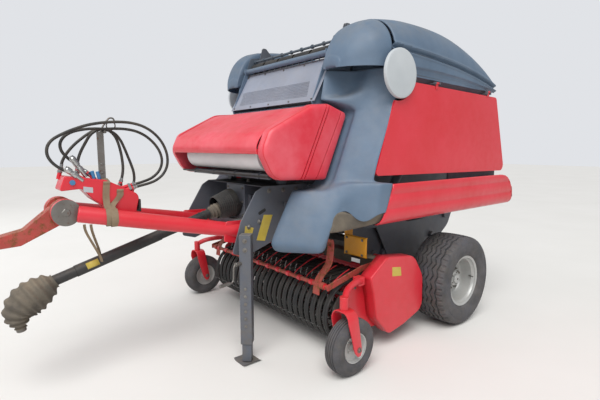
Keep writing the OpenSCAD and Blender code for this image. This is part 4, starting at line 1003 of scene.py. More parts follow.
def build_net_roll():
    p = Piece()
    at = Vector((0, -1.790, 1.610))
    rings = [(-0.600, 0.040), (-0.600, 0.1135), (-0.597, 0.115)]
    rings += [(-0.597 + 0.0199 * k, 0.115 - 0.0012 * (k % 2)) for k in range(1, 60)] + [(0.597, 0.115), (0.600, 0.1135),
                                                                                       (0.600, 0.040)]
    p.lathe(rings, at, (1, 0, 0), 64)
    o = p.make("net_wrap_roll", "net", "root", "net_white", smooth=50)
    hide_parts("net_roll")
    p = Piece()
    for s in (-1, 1):
        p.rod((s * 0.590, at.y, at.z), (s * 0.7195, at.y, at.z), 0.030, 28)
        p.lathe([(0, 0.060), (0.004, 0.086), (0.016, 0.086), (0.020, 0.060)], (s * 0.604, at.y, at.z), (s, 0, 0), 40)
        p.lathe([(0, 0.035), (0.002, 0.052), (0.030, 0.050), (0.034, 0.035)], (s * 0.640, at.y, at.z), (s, 0, 0), 40)
    p.make("net_core", "black", "root", "net_white", smooth=30)


LID = [(-1.420, 1.992), (-1.470, 1.991), (-1.530, 1.981), (-1.600, 1.952), (-1.760, 1.868), (-1.880, 1.805),
       (-1.930, 1.772), (-1.962, 1.735), (-1.982, 1.692), (-1.984, 1.665), (-1.974, 1.634)]


def build_lid():
    p = Piece()
    half = NET_X - NET_T - 0.006
    path = [(v.y, v.z) for v in spline([(0, y, z) for y, z in LID], 5)]
    xs = [-half, -half + 0.012] + [-half + 0.012 + (2 * half - 0.024) * k / 12 for k in range(1, 13)] + [half]
    p.face_grid([[(x, y, z + (0.0 if abs(x) < half else -0.004)) for y, z in path] for x in xs])
    o = p.make("net_cover", "red_faded", "lid", "red_paint", smooth=40, thick=-0.010, bevel=0.003)
    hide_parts("net_lid")
    p = Piece()
    low = [(-1.974, 1.668), (-1.990, 1.662), (-1.992, 1.652), (-1.984, 1.632), (-1.972, 1.630), (-1.966, 1.640)]
    p.plate(-half, 2 * half, low)
    p.make("net_cover_edge", "red", "lid", "red_paint", bevel=0.003, smooth=40)
    p = Piece()
    for s in (-1, 1):
        p.rod((s * 0.36, -1.400, 1.985), (s * 0.45, -1.400, 1.985), 0.017, 24)
        p.box((min(s * 0.36, s * 0.45), -1.440, 1.980), (max(s * 0.36, s * 0.45), -1.404, 1.992))
    p.make("net_cover_knuckles", "steel", "lid", "red_paint", bevel=0.001)


build_net_ends()
build_net_trough()
build_net_roll()
build_lid()

# Sloping front panel with its barred window, the pipe above, what shows behind, and a black sheet of painted shade
# behind the window
PANEL_FOOT, PANEL_TOP = Vector((0, -1.380, 2.050)), Vector((0, -1.180, 2.410))


def build_front_panel():
    up = (PANEL_TOP - PANEL_FOOT).normalized()
    out = X_AXIS.cross(up)
    length = (PANEL_TOP - PANEL_FOOT).length

    def on(x, v, w=0.0):
        return Vector((x, 0, 0)) + PANEL_FOOT + up * v - out * w

    p = Piece()
    lean = 0.045
    hole = [(-0.520, 0.052), (0.520, 0.052), (0.520 - lean, 0.205), (-0.520 - lean, 0.205)]
    edge = [(-0.645, 0.0), (0.645, 0.0), (0.645, length), (-0.645, length)]
    rows = []
    for w in (-0.003, 0.003):
        rows.append([on(x, v, w) for x, v in edge])
        rows.append([on(x, v, w) for x, v in hole])
    order = [rows[0], rows[1], rows[3], rows[2]]
    p.face_grid(order, close_u=True, close_v=True)
    o = p.make("front_sheet", "pale_grey", "root", "grey_paint", bevel=0.0025)
    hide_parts("front_panel")
    p = Piece()
    for k in range(80):
        x = -0.520 + 1.04 * (k + 0.5) / 80
        a, b = on(x, 0.050), on(x - lean, 0.207)
        p.prism([a + Vector((-0.0034, 0, 0)), a + Vector((0.0034, 0, 0)), b + Vector((0.0034, 0, 0)),
                 b + Vector((-0.0034, 0, 0))], tuple(out * 0.003))
    for k in range(9):
        v = 0.062 + 0.0165 * k
        x0 = -0.520 - lean * (v - 0.052) / 0.153
        a, b = on(x0, v), on(x0 + 1.04, v)
        p.prism([a - up * 0.0034, a + up * 0.0034, b + up * 0.0034, b - up * 0.0034], tuple(out * 0.003))
    p.make("front_grille", "pale_grey", "root", "grey_paint", bevel=0.0, smooth=30)
    p = Piece()
    for x in (-0.60, -0.30, 0.0, 0.30, 0.60):
        for v in (0.020, length - 0.022):
            p.bolt(on(x, v, -0.003), tuple(out), 0.0065, 0.006)
    p.make("front_sheet_bolts", "steel", "root", "bare_steel")
    p = Piece()
    p.rod((-0.650, -1.200, 2.455), (0.650, -1.200, 2.455), 0.025, 32)
    for s in (-1, 1):
        for d in (0.600, 0.625):
            p.lathe([(0, 0.026), (0.002, 0.031), (0.009, 0.031), (0.011, 0.026)], (s * d, -1.200, 2.455), (s, 0, 0), 32)
    p.rod((-0.640, -1.345, 2.010), (0.640, -1.345, 2.010), 0.020, 24)
    p.make("front_pipe", "slate", "root", "bare_steel", smooth=30)
    p = Piece()
    for x in (-0.645, 0.645):
        p.rod((x - 0.003, -1.200, 2.455), (x + 0.003, -1.200, 2.455), 0.0255, 24)
    for k in range(14):
        x = -0.585 + 0.09 * k
        p.prism([(x - 0.004, -1.197, 2.405), (x + 0.004, -1.197, 2.405), (x + 0.004, -1.197, 2.440),
                 (x - 0.004, -1.197, 2.440)], (0, 0.008, 0))
    p.rod((-0.640, -1.188, 2.412), (0.640, -1.188, 2.412), 0.006, 12)
    p.make("front_rack", "grey", "root", "grey_paint", bevel=0.001)
    p = Piece()
    side = [(-1.385, 2.040), (-1.230, 2.430), (-1.230, 2.485), (-1.060, 2.485), (-1.060, 2.300), (-1.180, 1.985),
            (-1.360, 1.985)]
    p.plate(0.608, 0.010, side)
    for y, z in ((-1.090, 2.440), (-1.110, 2.345)):
        p.rod((0.618, y, z), (0.655, y, z), 0.025, 20)
    p.make("front_side_plates", "slate", "root", "grey_paint", bevel=0.002, mirror=True)
    # A black sheet behind the window: painted shade for the dark inside of the machine.
    p = Piece()
    p.face_grid([[on(x, 0.040, 0.030), on(x, 0.215, 0.030)] for x in (-0.600, 0.600)])
    p.make("front_window_shade_sheet", "black", "root", "grey_paint", thick=0.003)


build_front_panel()

# What shows over the front pipe: a roller with the belts that turn round it, laced and studded
TOP_ROLLER = (-1.115, 2.486)


def build_top_belts():
    p = Piece()
    p.rod((-0.607, *TOP_ROLLER), (0.607, *TOP_ROLLER), 0.040, 32)
    p.make("top_roller", "steel", "root", "bare_steel", smooth=35)
    p, studs = Piece(), Piece()
    for i in range(5):
        x0 = -0.5925 + i * 0.237
        turn = [math.radians(205 - 14 * k) for k in range(11)]
        path = [(TOP_ROLLER[0] + 0.046 * math.cos(a), TOP_ROLLER[1] + 0.046 * math.sin(a)) for a in turn]
        path += [(-0.990, 2.524), (-0.940, 2.516)]
        p.face_grid([[(x, y, z) for y, z in path] for x in (x0, x0 + 0.003, x0 + 0.202, x0 + 0.205)])
        for k in range(9):
            x = x0 + 0.008 + k * 0.0222
            studs.box((x, -1.080, 2.5315), (x + 0.011, -1.064, 2.5365))
    p.make("top_belts", "rubber", "root", "belt_rubber", thick=0.006, offset=1.0, smooth=50)
    studs.make("belt_lacing", "steel", "root", "bare_steel", bevel=0.001)
    # The bar over the belts and the cheeks beside it take the darker slate: painted shade where they sit back.
    p = Piece()
    p.rod((-0.655, -1.100, 2.568), (0.655, -1.100, 2.568), 0.011, 16)
    for k in range(9):
        p.lathe([(-0.008, 0.012), (-0.007, 0.019), (0.007, 0.019), (0.008, 0.012)], (-0.60 + 0.15 * k, -1.100, 2.568),
                (1, 0, 0), 20)
    p.make("top_bar", "slate_shaded", "root", "grey_paint", smooth=35)
    p = Piece()
    p.plate(0.6215, 0.006, rounded([(-1.215, 2.440, 0.02), (-1.150, 2.600, 0.03), (-1.020, 2.620, 0.03),
                                    (-0.985, 2.500, 0.02), (-1.060, 2.420, 0.02)], 4))
    p.make("top_cheeks", "slate_shaded", "root", "grey_paint", bevel=0.001, mirror=True)


build_top_belts()


# Gearbox, its ribbed guard and the drive shaft
def build_gearbox():
    p = Piece()
    p.box((-0.150, -1.740, 1.060), (0.150, -1.440, 1.360))
    p.box((-0.180, -1.700, 1.075), (0.180, -1.500, 1.275))
    p.rod((0.150, -1.640, 1.150), (0.450, -1.640, 1.150), 0.055, 32)
    for x in (0.200, 0.300, 0.400):
        p.lathe([(0, 0.055), (0.001, 0.070), (0.013, 0.070), (0.014, 0.055)], (x, -1.640, 1.150), (1, 0, 0), 32)
    o = p.make("gear_case", "grey", "root", "grey_paint", bevel=0.010, segments=3)
    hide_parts("gearbox")
    p = Piece()
    for x, z in ((-0.12, 1.09), (0.12, 1.09), (-0.12, 1.33), (0.12, 1.33), (-0.12, 1.21), (0.12, 1.21)):
        p.bolt((x, -1.740, z), (0, -1, 0), 0.009, 0.008)
    for y in (-1.68, -1.62, -1.56, -1.50):
        p.bolt((y * 0 + 0.12, y, 1.360), (0, 0, 1), 0.008, 0.007)
        p.bolt((-0.12, y, 1.360), (0, 0, 1), 0.008, 0.007)
    p.lathe([(0, 0.020), (0.020, 0.020), (0.024, 0.014), (0.040, 0.012)], (0, -1.60, 1.360), (0, 0, 1), 20)
    p.make("gear_bolts", "steel", "root", "bare_steel")


TIP = math.radians(12)
INPUT = Vector((0, -1.767, 1.200))
INPUT_DIR = Vector((0, -math.cos(TIP), -math.sin(TIP)))


def build_cone():
    p = Piece()
    rings = [(0.000, 0.112), (0.000, 0.124), (0.040, 0.124)]
    d = 0.044
    while d < 0.170:
        r = 0.122 - (d - 0.040) * 0.17
        rings += [(d, r - 0.004), (d + 0.004, r), (d + 0.010, r), (d + 0.014, r - 0.005)]
        d += 0.0175
    rings += [(0.178, 0.099), (0.178, 0.091), (0.110, 0.100), (0.040, 0.112)]
    p.lathe(rings, INPUT, INPUT_DIR, 64, closed=False)
    o = p.make("cone_guard", "black", "root", "black_plastic", smooth=30, bevel=0.0)
    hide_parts("pto_guard")
    p = Piece()
    for s in (-1, 1):
        p.box((min(s * 0.113, s * 0.122), -1.790, 1.175), (max(s * 0.113, s * 0.122), -1.739, 1.215))
        p.bolt((s * 0.124, -1.792, 1.196), (s, 0, 0), 0.007, 0.006)
    p.make("cone_lugs", "black", "root", "black_plastic", bevel=0.002)


SHAFT_A, SHAFT_B = Vector((0, -1.905, 1.150)), Vector((0, -3.160, 0.779))
BELLOWS = [(-3.178, 0.772, 0.052), (-3.215, 0.752, 0.085), (-3.262, 0.724, 0.107), (-3.310, 0.694, 0.120),
           (-3.352, 0.664, 0.119), (-3.384, 0.630, 0.110), (-3.402, 0.594, 0.095), (-3.404, 0.560, 0.078),
           (-3.399, 0.528, 0.058), (-3.394, 0.496, 0.038)]


def ribbed(p, rows, ribs, depth, sides=48):
    """A ribbed boot through rows of (y, z, radius)."""
    centre = spline([(0, y, z) for y, z, r in rows], 12)
    radius = [v.x for v in spline([(r, 0, 0) for y, z, r in rows], 12)]
    n = len(centre) - 1
    path, radii = [], []
    for k in range(ribs * 6 + 1):
        t = k / (ribs * 6) * n
        i = min(int(t), n - 1)
        f = t - i
        path.append(centre[i].lerp(centre[i + 1], f))
        wave = (1, 0.72, 0.18, 0, 0.18, 0.72)[k % 6]
        radii.append((radius[i] * (1 - f) + radius[i + 1] * f) - depth * (1 - wave))
    p.tube(path, radii, sides)


def build_shaft():
    p = Piece()
    d = (SHAFT_B - SHAFT_A).normalized()
    p.rod((0, -1.740, 1.192), (0, -1.775, 1.192), 0.035, 24)
    p.rod((0, -1.760, 1.191), SHAFT_A, 0.030, 24)
    p.rod(SHAFT_A, SHAFT_B + d * 0.070, 0.038, 40)
    at = SHAFT_A + d * 0.55
    p.lathe([(0, 0.038), (0.002, 0.042), (0.640, 0.042), (0.642, 0.038)], at, d, 40)
    for k in (0.10, 0.14, 0.18):
        p.lathe([(0, 0.038), (0.003, 0.041), (0.010, 0.041), (0.013, 0.038)], SHAFT_A + d * k, d, 40)
    o = p.make("shaft_tube", "black", "root", "black_plastic", smooth=30)
    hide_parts("pto_shaft")
    p = Piece()
    ribbed(p, [(-1.885, 1.158, 0.052), (-1.920, 1.146, 0.062), (-1.965, 1.132, 0.060), (-2.005, 1.120, 0.046)], 5, 0.010)
    ribbed(p, BELLOWS, 9, 0.016)
    p.make("shaft_boots", "dusty_black", "root", "black_plastic", smooth=60)
    p = Piece()
    p.rod((0, -3.395, 0.506), (0, -3.390, 0.470), 0.030, 24)
    p.make("shaft_yoke", "steel", "root", "bare_steel", bevel=0.002)
    p = Piece()
    up = X_AXIS.cross(d) * -1
    for t, turn in ((1.035, 0.30),):
        a = SHAFT_A + d * t
        rows = []
        for j in range(7):
            c = turn - 0.55 + 1.1 * j / 6
            n = X_AXIS * math.cos(c) + up * math.sin(c)
            r = 0.0395 if t < 0.55 else 0.0435
            rows.append([a + n * r, a + d * 0.085 + n * r])
        p.face_grid(rows)
    p.make("shaft_plates", "plate", "root", "black_plastic", thick=0.0008, offset=1.0, smooth=60)


build_gearbox()
build_cone()
build_shaft()

# Front frame, drawbar and hitch head
PLATE_X = 0.450
FRONT_PLATE = [(-1.280, 1.370, 0), (-1.760, 1.370, 0.03), (-1.830, 1.330, 0.04), (-1.970, 1.105, 0.04),
               (-2.050, 0.863, 0.025), (-1.920, 0.826, 0.025), (-1.700, 0.900, 0.08), (-1.280, 1.020, 0)]


def build_front_frame():
    p = Piece()
    for s in (-1, 1):
        p.plate(PLATE_X if s > 0 else -PLATE_X - 0.010, 0.010, rounded(FRONT_PLATE, 5))
    p.box((-0.600, -1.300, 1.200), (0.600, -1.240, 1.360))
    p.box((-PLATE_X, -1.800, 1.000), (PLATE_X, -1.740, 1.060))
    p.box((-PLATE_X, -1.560, 1.000), (PLATE_X, -1.500, 1.060))
    p.box((-PLATE_X, -1.760, 1.364), (PLATE_X, -1.290, 1.370))
    o = p.make("front_members", "grey", "root", "grey_paint", bevel=0.0025)
    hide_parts("front_frame")
    p = Piece()
    for y, z in ((-1.800, 1.090), (-1.900, 1.060), (-1.960, 0.930), (-1.880, 0.890), (-1.560, 1.330), (-1.420, 1.330),
                 (-1.700, 1.330), (-1.350, 1.100), (-1.350, 1.200)):
        p.bolt((0.460, y, z), (1, 0, 0), 0.013, 0.012)
    p.make("plate_bolts", "steel", "root", "bare_steel", mirror=True)
    p = Piece()
    slot = [(-1.800, 1.140, 0.012), (-1.730, 1.172, 0.012), (-1.742, 1.196, 0.012), (-1.812, 1.164, 0.012)]
    p.plate(0.4585, 0.002, rounded(slot, 5))
    p.make("plate_slot", "black", "root", "grey_paint")
    p = Piece()
    p.plate(0.460, 0.0015, [(-1.755, 1.140), (-1.668, 1.132), (-1.748, 0.926), (-1.828, 0.942)])
    p.plate(0.460, 0.0015, [(-1.932, 1.070), (-1.854, 1.046), (-1.870, 0.992), (-1.940, 1.010)])
    p.make("blank_plates", "plate", "root", "grey_paint", bevel=0.0004)


HEAD = Vector((0, -3.105, 1.250))


def build_drawbar():
    p = Piece()
    for s in (-1, 1):
        a = Vector((s * 0.385, -1.880, 1.010))
        b = Vector((s * 0.118, HEAD.y, HEAD.z))
        d = (b - a).normalized()
        stop = b - d * 0.070
        p.rod(a, stop, 0.057, 40)
        x = 0.380 if s > 0 else -0.392
        p.plate(x, 0.012, rounded([(-1.810, 1.100, 0.01), (-2.060, 1.110, 0.02), (-2.080, 0.950, 0.02),
                                   (-1.810, 0.900, 0.01)], 4))
        p.rod((s * 0.100, HEAD.y, HEAD.z), (s * 0.126, HEAD.y, HEAD.z), 0.090, 48)
    p.box((-0.4497, -1.860, 0.950), (0.4497, -1.800, 0.998))
    p.box((-0.200, -2.720, 1.130), (0.200, -2.706, 1.200))
    o = p.make("drawbar_tubes", "red", "root", "red_paint", smooth=35, bevel=0.002)
    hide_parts("drawbar")
    p = Piece()
    for s in (-1, 1):
        p.lathe([(0, 0.086), (0.003, 0.0885), (0.010, 0.0885)], (s * 0.126, HEAD.y, HEAD.z), (s, 0, 0), 48)
        p.lathe([(0, 0.029), (0.010, 0.029), (0.014, 0.024), (0.014, 0.001)], (s * 0.126, HEAD.y, HEAD.z), (s, 0, 0), 6)
        p.lathe([(0, 0.036), (0.004, 0.036)], (s * 0.126, HEAD.y, HEAD.z), (s, 0, 0), 32)
    p.make("hitch_caps", "steel", "root", "bare_steel", smooth=30)


def toothed(p, x0, x1, r, teeth, at):
    """A disc whose face has teeth round its edge."""
    rows = []
    n = teeth * 4
    for k in range(n):
        a = 2 * math.pi * k / n
        cut = 0.004 if k % 4 in (1, 2) else 0.0
        c, s = math.cos(a), math.sin(a)
        sign = 1 if x1 > x0 else -1
        rows.append([(x0, at.y + r * c, at.z + r * s), (x1 - sign * cut, at.y + r * c, at.z + r * s),
                     (x1 - sign * cut, at.y + (r - 0.022) * c, at.z + (r - 0.022) * s),
                     (x1 - sign * 0.006, at.y + (r - 0.026) * c, at.z + (r - 0.026) * s),
                     (x1 - sign * 0.006, at.y + 0.02 * c, at.z + 0.02 * s), (x0, at.y + 0.02 * c, at.z + 0.02 * s)])
    p.face_grid(rows, close_u=True, close_v=True)


def build_tow_bar():
    p = Piece()
    arm = rounded([(-3.035, 1.290, 0.03), (-3.145, 1.310, 0.03), (-3.340, 1.150, 0.03), (-3.560, 1.100, 0.0),
                   (-3.560, 1.040, 0.0), (-3.360, 1.050, 0.04), (-3.065, 1.190, 0.03)], 5)
    p.plate(-0.050, 0.100, arm)
    eye = [(1.0400, 0.0250), (1.0400, 0.060), (1.0440, 0.065), (1.0960, 0.065), (1.1000, 0.060), (1.1000, 0.0250)]
    rows = []
    for k in range(64):
        a = 2 * math.pi * k / 64
        rows.append([(r * math.cos(a), -3.640 + r * math.sin(a), z) for z, r in eye])
    p.face_grid(rows, close_u=True, close_v=True)
    p.box((-0.040, -3.600, 1.042), (0.040, -3.540, 1.098))
    o = p.make("tow_arm", "worn_red", "root", "rusty_red", bevel=0.005, segments=3)
    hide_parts("tow_bar")
    p = Piece()
    for s in (-1, 1):
        toothed(p, s * 0.050, s * 0.0995, 0.0895, 30, HEAD)
    p.make("hitch_teeth", "worn_red", "root", "rusty_red", smooth=25)


build_front_frame()
build_drawbar()
build_tow_bar()

# Hose console, hook, couplers and straps
CONSOLE = [(-2.640, 1.200, 0), (-2.608, 1.335, 0.05), (-2.835, 1.452, 0.02), (-3.095, 1.490, 0.012),
           (-3.130, 1.390, 0.012), (-2.990, 1.400, 0.03), (-2.925, 1.320, 0.02), (-2.760, 1.200, 0)]


def build_console():
    p = Piece()
    p.plate(-0.075, 0.170, rounded(CONSOLE, 6))
    o = p.make("hose_box", "red", "root", "red_paint", bevel=0.006, segments=3, smooth=40)
    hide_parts("hose_console")
    p = Piece()
    p.box((0.004, -2.860, 1.430), (0.016, -2.815, 1.790))
    p.rod((-0.068, -2.812, 1.7875), (0.048, -2.812, 1.7875), 0.010, 20)
    p.tube(spline([(0.010, -2.838, 1.700), (0.010, -2.832, 1.790), (0.010, -2.800, 1.850), (0.010, -2.772, 1.884),
                   (0.010, -2.745, 1.884), (0.010, -2.735, 1.860)], 5), 0.006, 12)
    p.tube([(0.010 + 0.004 * math.sin(a), -2.762 + 0.030 * math.cos(a), 1.834 + 0.030 * math.sin(a))
            for a in (2 * math.pi * k / 24 for k in range(24))], 0.0045, 10, closed=True)
    for y, z in ((-2.838, 1.500), (-2.838, 1.560)):
        p.bolt((0.016, y, z), (1, 0, 0), 0.008, 0.007)
    p.make("hook", "steel", "root", "red_paint", bevel=0.001)
    caps, nuts = Piece(), Piece()
    for name, (x, yz) in HOSES.items():
        pts = [Vector((x, y, z)) for y, z in yz]
        for a, b in ((pts[0], pts[1]), (pts[-1], pts[-2])):
            d = (a - b).normalized()
            caps.rod(a + d * 0.080, a, 0.0138, 20)
            nuts.lathe([(0, 0.0185), (0.018, 0.0185), (0.020, 0.015)], a + d * 0.034, -d, 6)
            nuts.lathe([(0, 0.0150), (0.012, 0.0150), (0.016, 0.0115), (0.030, 0.0115)], a + d * 0.004, -d, 20)
    caps.make("hose_collars", "red", "root", "red_paint", smooth=35)
    nuts.make("hose_ferrules", "bright", "root", "bare_steel", smooth=30)
    p = Piece()
    for (y0, z0), (y1, z1), x in (((-2.981, 1.520), (-3.041, 1.620), 0.055), ((-3.020, 1.486), (-3.088, 1.545), 0.088)):
        a, b = Vector((x, y0, z0)), Vector((x, y1, z1))
        d = (b - a).normalized()
        p.rod(a - d * 0.05, a + d * 0.004, 0.013, 20)
        length = (b - a).length
        p.lathe([(0, 0.017), (0.002, 0.021), (0.026, 0.021), (0.030, 0.0165), (0.044, 0.0165), (0.048, 0.021),
                 (length - 0.014, 0.021), (length - 0.008, 0.016), (length, 0.016)], a, d, 28)
    p.make("couplers", "bright", "root", "bare_steel", smooth=30)
    p = Piece()
    for y, z, turn in ((-2.905, 1.462, 0.0), (-2.870, 1.457, 0.0)):
        p.rod((0.060, y, z), (0.060, y - 0.012, z + 0.055), 0.012, 18)
    p.rod((0.0948, -3.050, 1.445), (0.1040, -3.050, 1.445), 0.018, 24)
    p.make("coupler_caps", "blue", "root", "red_paint", smooth=35, bevel=0.002)
    p = Piece()
    for y0, y1, z0, (bx, bz) in ((-2.840, -2.850, 1.455, (0.1736, 1.200)), (-2.752, -2.820, 1.395, (0.1802, 1.194))):
        path = [(0.0975, y0 + 0.004, z0 - 0.035), (0.0985, y0, z0 - 0.06), (0.1000, (y0 + y1) / 2, (z0 + bz) / 2),
                (0.1250, y1 + 0.004, bz + 0.072)]
        for k in range(11):
            a = math.radians(112 - 22 * k)
            path.append((bx + 0.0600 * math.cos(a), y1 - 0.010 * math.cos(a), bz + 0.0600 * math.sin(a)))
        p.ribbon(spline(path, 5), (0, 1, 0), 0.046, 0.0025)
        top = [(0.0975, y0 + 0.004, z0 - 0.035), (0.0960, y0 + 0.006, z0 - 0.012), (0.0300, y0 + 0.006, z0 + 0.006)]
        p.ribbon(spline(top, 5), (0, 1, 0), 0.046, 0.0025)
    p.make("console_straps", "webbing", "root", "red_paint", smooth=60)
    p = Piece()
    p.ribbon(spline([(0.170, -3.010, 1.168), (0.128, -2.990, 1.100), (0.060, -2.905, 0.930), (0.043, -2.884, 0.872),
                     (0.022, -2.876, 0.832), (0.0, -2.874, 0.8255)], 5), (0, 1, 0), 0.018, 0.003)
    p.ribbon(spline([(0.150, -2.965, 1.160), (0.100, -2.945, 1.090), (-0.020, -2.880, 0.930), (-0.044, -2.874, 0.866),
                     (-0.022, -2.872, 0.832), (0.0, -2.874, 0.8255)], 5), (0, 1, 0), 0.018, 0.003)
    p.make("shaft_sling", "webbing", "root", "red_paint", smooth=60)
    p = Piece()
    p.plate(0.0952, 0.0008, [(-2.985, 1.415), (-2.925, 1.405), (-2.925, 1.368), (-2.985, 1.378)])
    p.make("console_label", "disc", "root", "red_paint")
    p = Piece()
    p.box((-0.066, -2.616, 1.206), (0.086, -2.598, 1.300))
    p.make("console_end", "black", "root", "red_paint", bevel=0.006, segments=3)


# Parking jack with its crank
JACK = Vector((PLATE_X + 0.010 + 0.090 * math.sqrt(2) / 2 + 0.001, -1.968, 0))


def square_tube(p, at, half, wall, z0, z1):
    """A square tube turned corner to corner."""
    r = half * math.sqrt(2)
    q = (half - wall) * math.sqrt(2)
    out = [(at.x + r, at.y), (at.x, at.y + r), (at.x - r, at.y), (at.x, at.y - r)]
    inn = [(at.x + q, at.y), (at.x, at.y + q), (at.x - q, at.y), (at.x, at.y - q)]
    rows = [[(x, y, z0) for x, y in out], [(x, y, z1) for x, y in out], [(x, y, z1) for x, y in inn],
            [(x, y, z0) for x, y in inn]]
    p.face_grid(rows, close_u=True, close_v=True)


def build_jack():
    p = Piece()
    square_tube(p, JACK, 0.045, 0.009, 0.150, 1.010)
    r = 0.045 * math.sqrt(2)
    p.prism([(JACK.x + r, JACK.y, 1.008), (JACK.x, JACK.y + r, 1.008), (JACK.x - r, JACK.y, 1.008),
             (JACK.x, JACK.y - r, 1.008)], (0, 0, 0.012))
    p.box((0.460, JACK.y - 0.030, 0.880), (0.492, JACK.y + 0.030, 1.000))
    o = p.make("jack_outer", "grey", "root", "grey_paint", bevel=0.004, segments=3)
    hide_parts("jack_tube")
    p = Piece()
    for z in (0.30, 0.36, 0.42, 0.48, 0.54, 0.60):
        p.bolt((JACK.x + 0.0330, JACK.y - 0.0330, z), (1, -1, 0), 0.0085, 0.006)
    for z in (0.905, 0.975):
        p.bolt((JACK.x + 0.0320, JACK.y - 0.0320, z), (1, -1, 0), 0.012, 0.010)
    p.make("jack_bolts", "steel", "root", "bare_steel")
    p = Piece()
    base = Vector((JACK.x, JACK.y - 0.045, 0.800))
    p.rod(base, base + Vector((0.012, -0.060, 0)), 0.016, 20)
    a = base + Vector((0.012, -0.055, 0))
    p.tube(spline([a, a + Vector((0.002, -0.012, -0.004)), a + Vector((0.004, -0.022, -0.030)),
                   a + Vector((0.006, -0.026, -0.100)), a + Vector((0.008, -0.040, -0.128)),
                   a + Vector((0.012, -0.100, -0.132))], 5), 0.0065, 12)
    p.rod(a + Vector((0.010, -0.060, -0.131)), a + Vector((0.018, -0.150, -0.134)), 0.013, 18)
    p.make("jack_crank", "steel", "root", "grey_paint", smooth=35)
    p = Piece()
    half = (0.090 - 0.018 - 0.0012) / 2
    r = half * math.sqrt(2)
    p.prism([(JACK.x + r, JACK.y, 0.008), (JACK.x, JACK.y + r, 0.008), (JACK.x - r, JACK.y, 0.008),
             (JACK.x, JACK.y - r, 0.008)], (0, 0, 0.560))
    dish = [(-0.080, 0.016), (-0.066, 0.004), (-0.050, 0.0), (0.050, 0.0), (0.066, 0.004), (0.080, 0.016)]
    p.face_grid([[(JACK.x + x, JACK.y + y, z) for x, z in dish] for y in (-0.080, -0.05, 0.0, 0.05, 0.080)])
    o = p.make("jack_foot", "grey", "jack", "grey_paint", bevel=0.0015, thick=0.0)
    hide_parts("jack_leg")


build_console()
build_jack()


def build_guard_plate():
    """Yellow guard plate beside the pick-up, folded along its edges."""
    p = Piece()
    p.face_grid([[(0.672, y, z), (0.900, y, z), (0.912, y + 0.004, z), (0.917, y + 0.016, z)]
                 for y, z in ((-1.030, 0.747), (-1.039, 0.756), (-1.040, 0.770), (-1.040, 0.905), (-1.039, 0.916),
                              (-1.030, 0.925))])
    p.box((0.668, -1.040, 0.745), (0.674, -0.940, 1.090))
    o = p.make("guard_sheet", "yellow", "root", "yellow_paint", smooth=40, thick=0.005, bevel=0.001)
    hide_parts("guard_plate")
    p = Piece()
    for x, z in ((0.700, 0.770), (0.700, 0.900), (0.880, 0.770), (0.880, 0.900)):
        p.bolt((x, -1.0445, z), (0, -1, 0), 0.008, 0.007)
    p.make("guard_sheet_bolts", "steel", "root", "bare_steel")


build_guard_plate()


# Pick-up
PICK_X = 0.980
REEL = Vector((0, -1.220, 0.330))
BAND_R, BAND_W, PITCH = 0.250, 0.050, 0.076
BAND_N = int(2 * (PICK_X - 0.040) / PITCH)
BAND_X0 = -(BAND_N - 1) * PITCH / 2


def build_bands():
    path = [(REEL.y + BAND_R * math.cos(a), REEL.z + BAND_R * math.sin(a))
            for a in (math.radians(90 + 180 * k / 22) for k in range(23))]
    path += [(-1.10, 0.082), (-0.93, 0.090), (-0.90, 0.130), (-0.882, 0.230)]
    path = [(-0.882, REEL.z + BAND_R), (-1.05, REEL.z + BAND_R)] + path
    crown = [(-0.025, 0.012), (-0.0235, 0.003), (-0.019, 0.0), (-0.007, -0.0005), (-0.005, -0.004), (0.005, -0.004),
             (0.007, -0.0005), (0.019, 0.0), (0.0235, 0.003), (0.025, 0.012)]
    p = Piece()
    for i in range(BAND_N):
        x0 = BAND_X0 + i * PITCH
        rows = []
        for k, (y, z) in enumerate(path):
            a, b = path[max(k - 1, 0)], path[min(k + 1, len(path) - 1)]
            t = Vector((0, b[0] - a[0], b[1] - a[1])).normalized()
            n = X_AXIS.cross(t)
            rows.append([Vector((x0 + x, y, z)) + n * d for x, d in crown])
        p.face_grid(rows)
    o = p.make("strippers", "black", "pickup", "black_plastic", smooth=50, thick=0.003, offset=0)
    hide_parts("bands")


def build_reel():
    p = Piece()
    p.rod((-PICK_X, REEL.y, REEL.z), (PICK_X, REEL.y, REEL.z), 0.030, 28)
    for x in (-0.900, 0, 0.900):
        p.lathe([(-0.004, 0.030), (-0.004, 0.190), (0.004, 0.190), (0.004, 0.030)], (x, REEL.y, REEL.z), (1, 0, 0), 48)
    for b in range(4):
        a = math.radians(90 * b + 20)
        at = REEL + Vector((0, math.cos(a), math.sin(a))) * 0.170
        p.rod((-PICK_X + 0.02, at.y, at.z), (PICK_X - 0.02, at.y, at.z), 0.015, 20)
    o = p.make("tine_bars", "steel", "tine_reel", "bare_steel", smooth=35)
    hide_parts("reel")
    p = Piece()
    for b in range(4):
        a = math.radians(90 * b + 20)
        for i in range(BAND_N - 1):
            x = BAND_X0 + (i + 0.5) * PITCH
            pts = []
            for r, turn in ((0.168, 5), (0.190, 4.5), (0.225, 2), (0.262, -2), (0.296, -7)):
                c = a + math.radians(turn)
                pts.append((x, REEL.y + r * math.cos(c), REEL.z + r * math.sin(c)))
            p.tube(spline(pts, 3), 0.0032, 8)
            for k in (-1, 1):
                p.lathe([(0, 0.017), (0.002, 0.021), (0.008, 0.021), (0.010, 0.017)],
                        (x + k * 0.006 - 0.005, REEL.y + 0.170 * math.cos(a), REEL.z + 0.170 * math.sin(a)),
                        (1, 0, 0), 12)
    p.make("tines", "bright", "tine_reel", "bare_steel", smooth=40)


GUARD_BAR = (-1.470, 0.590)


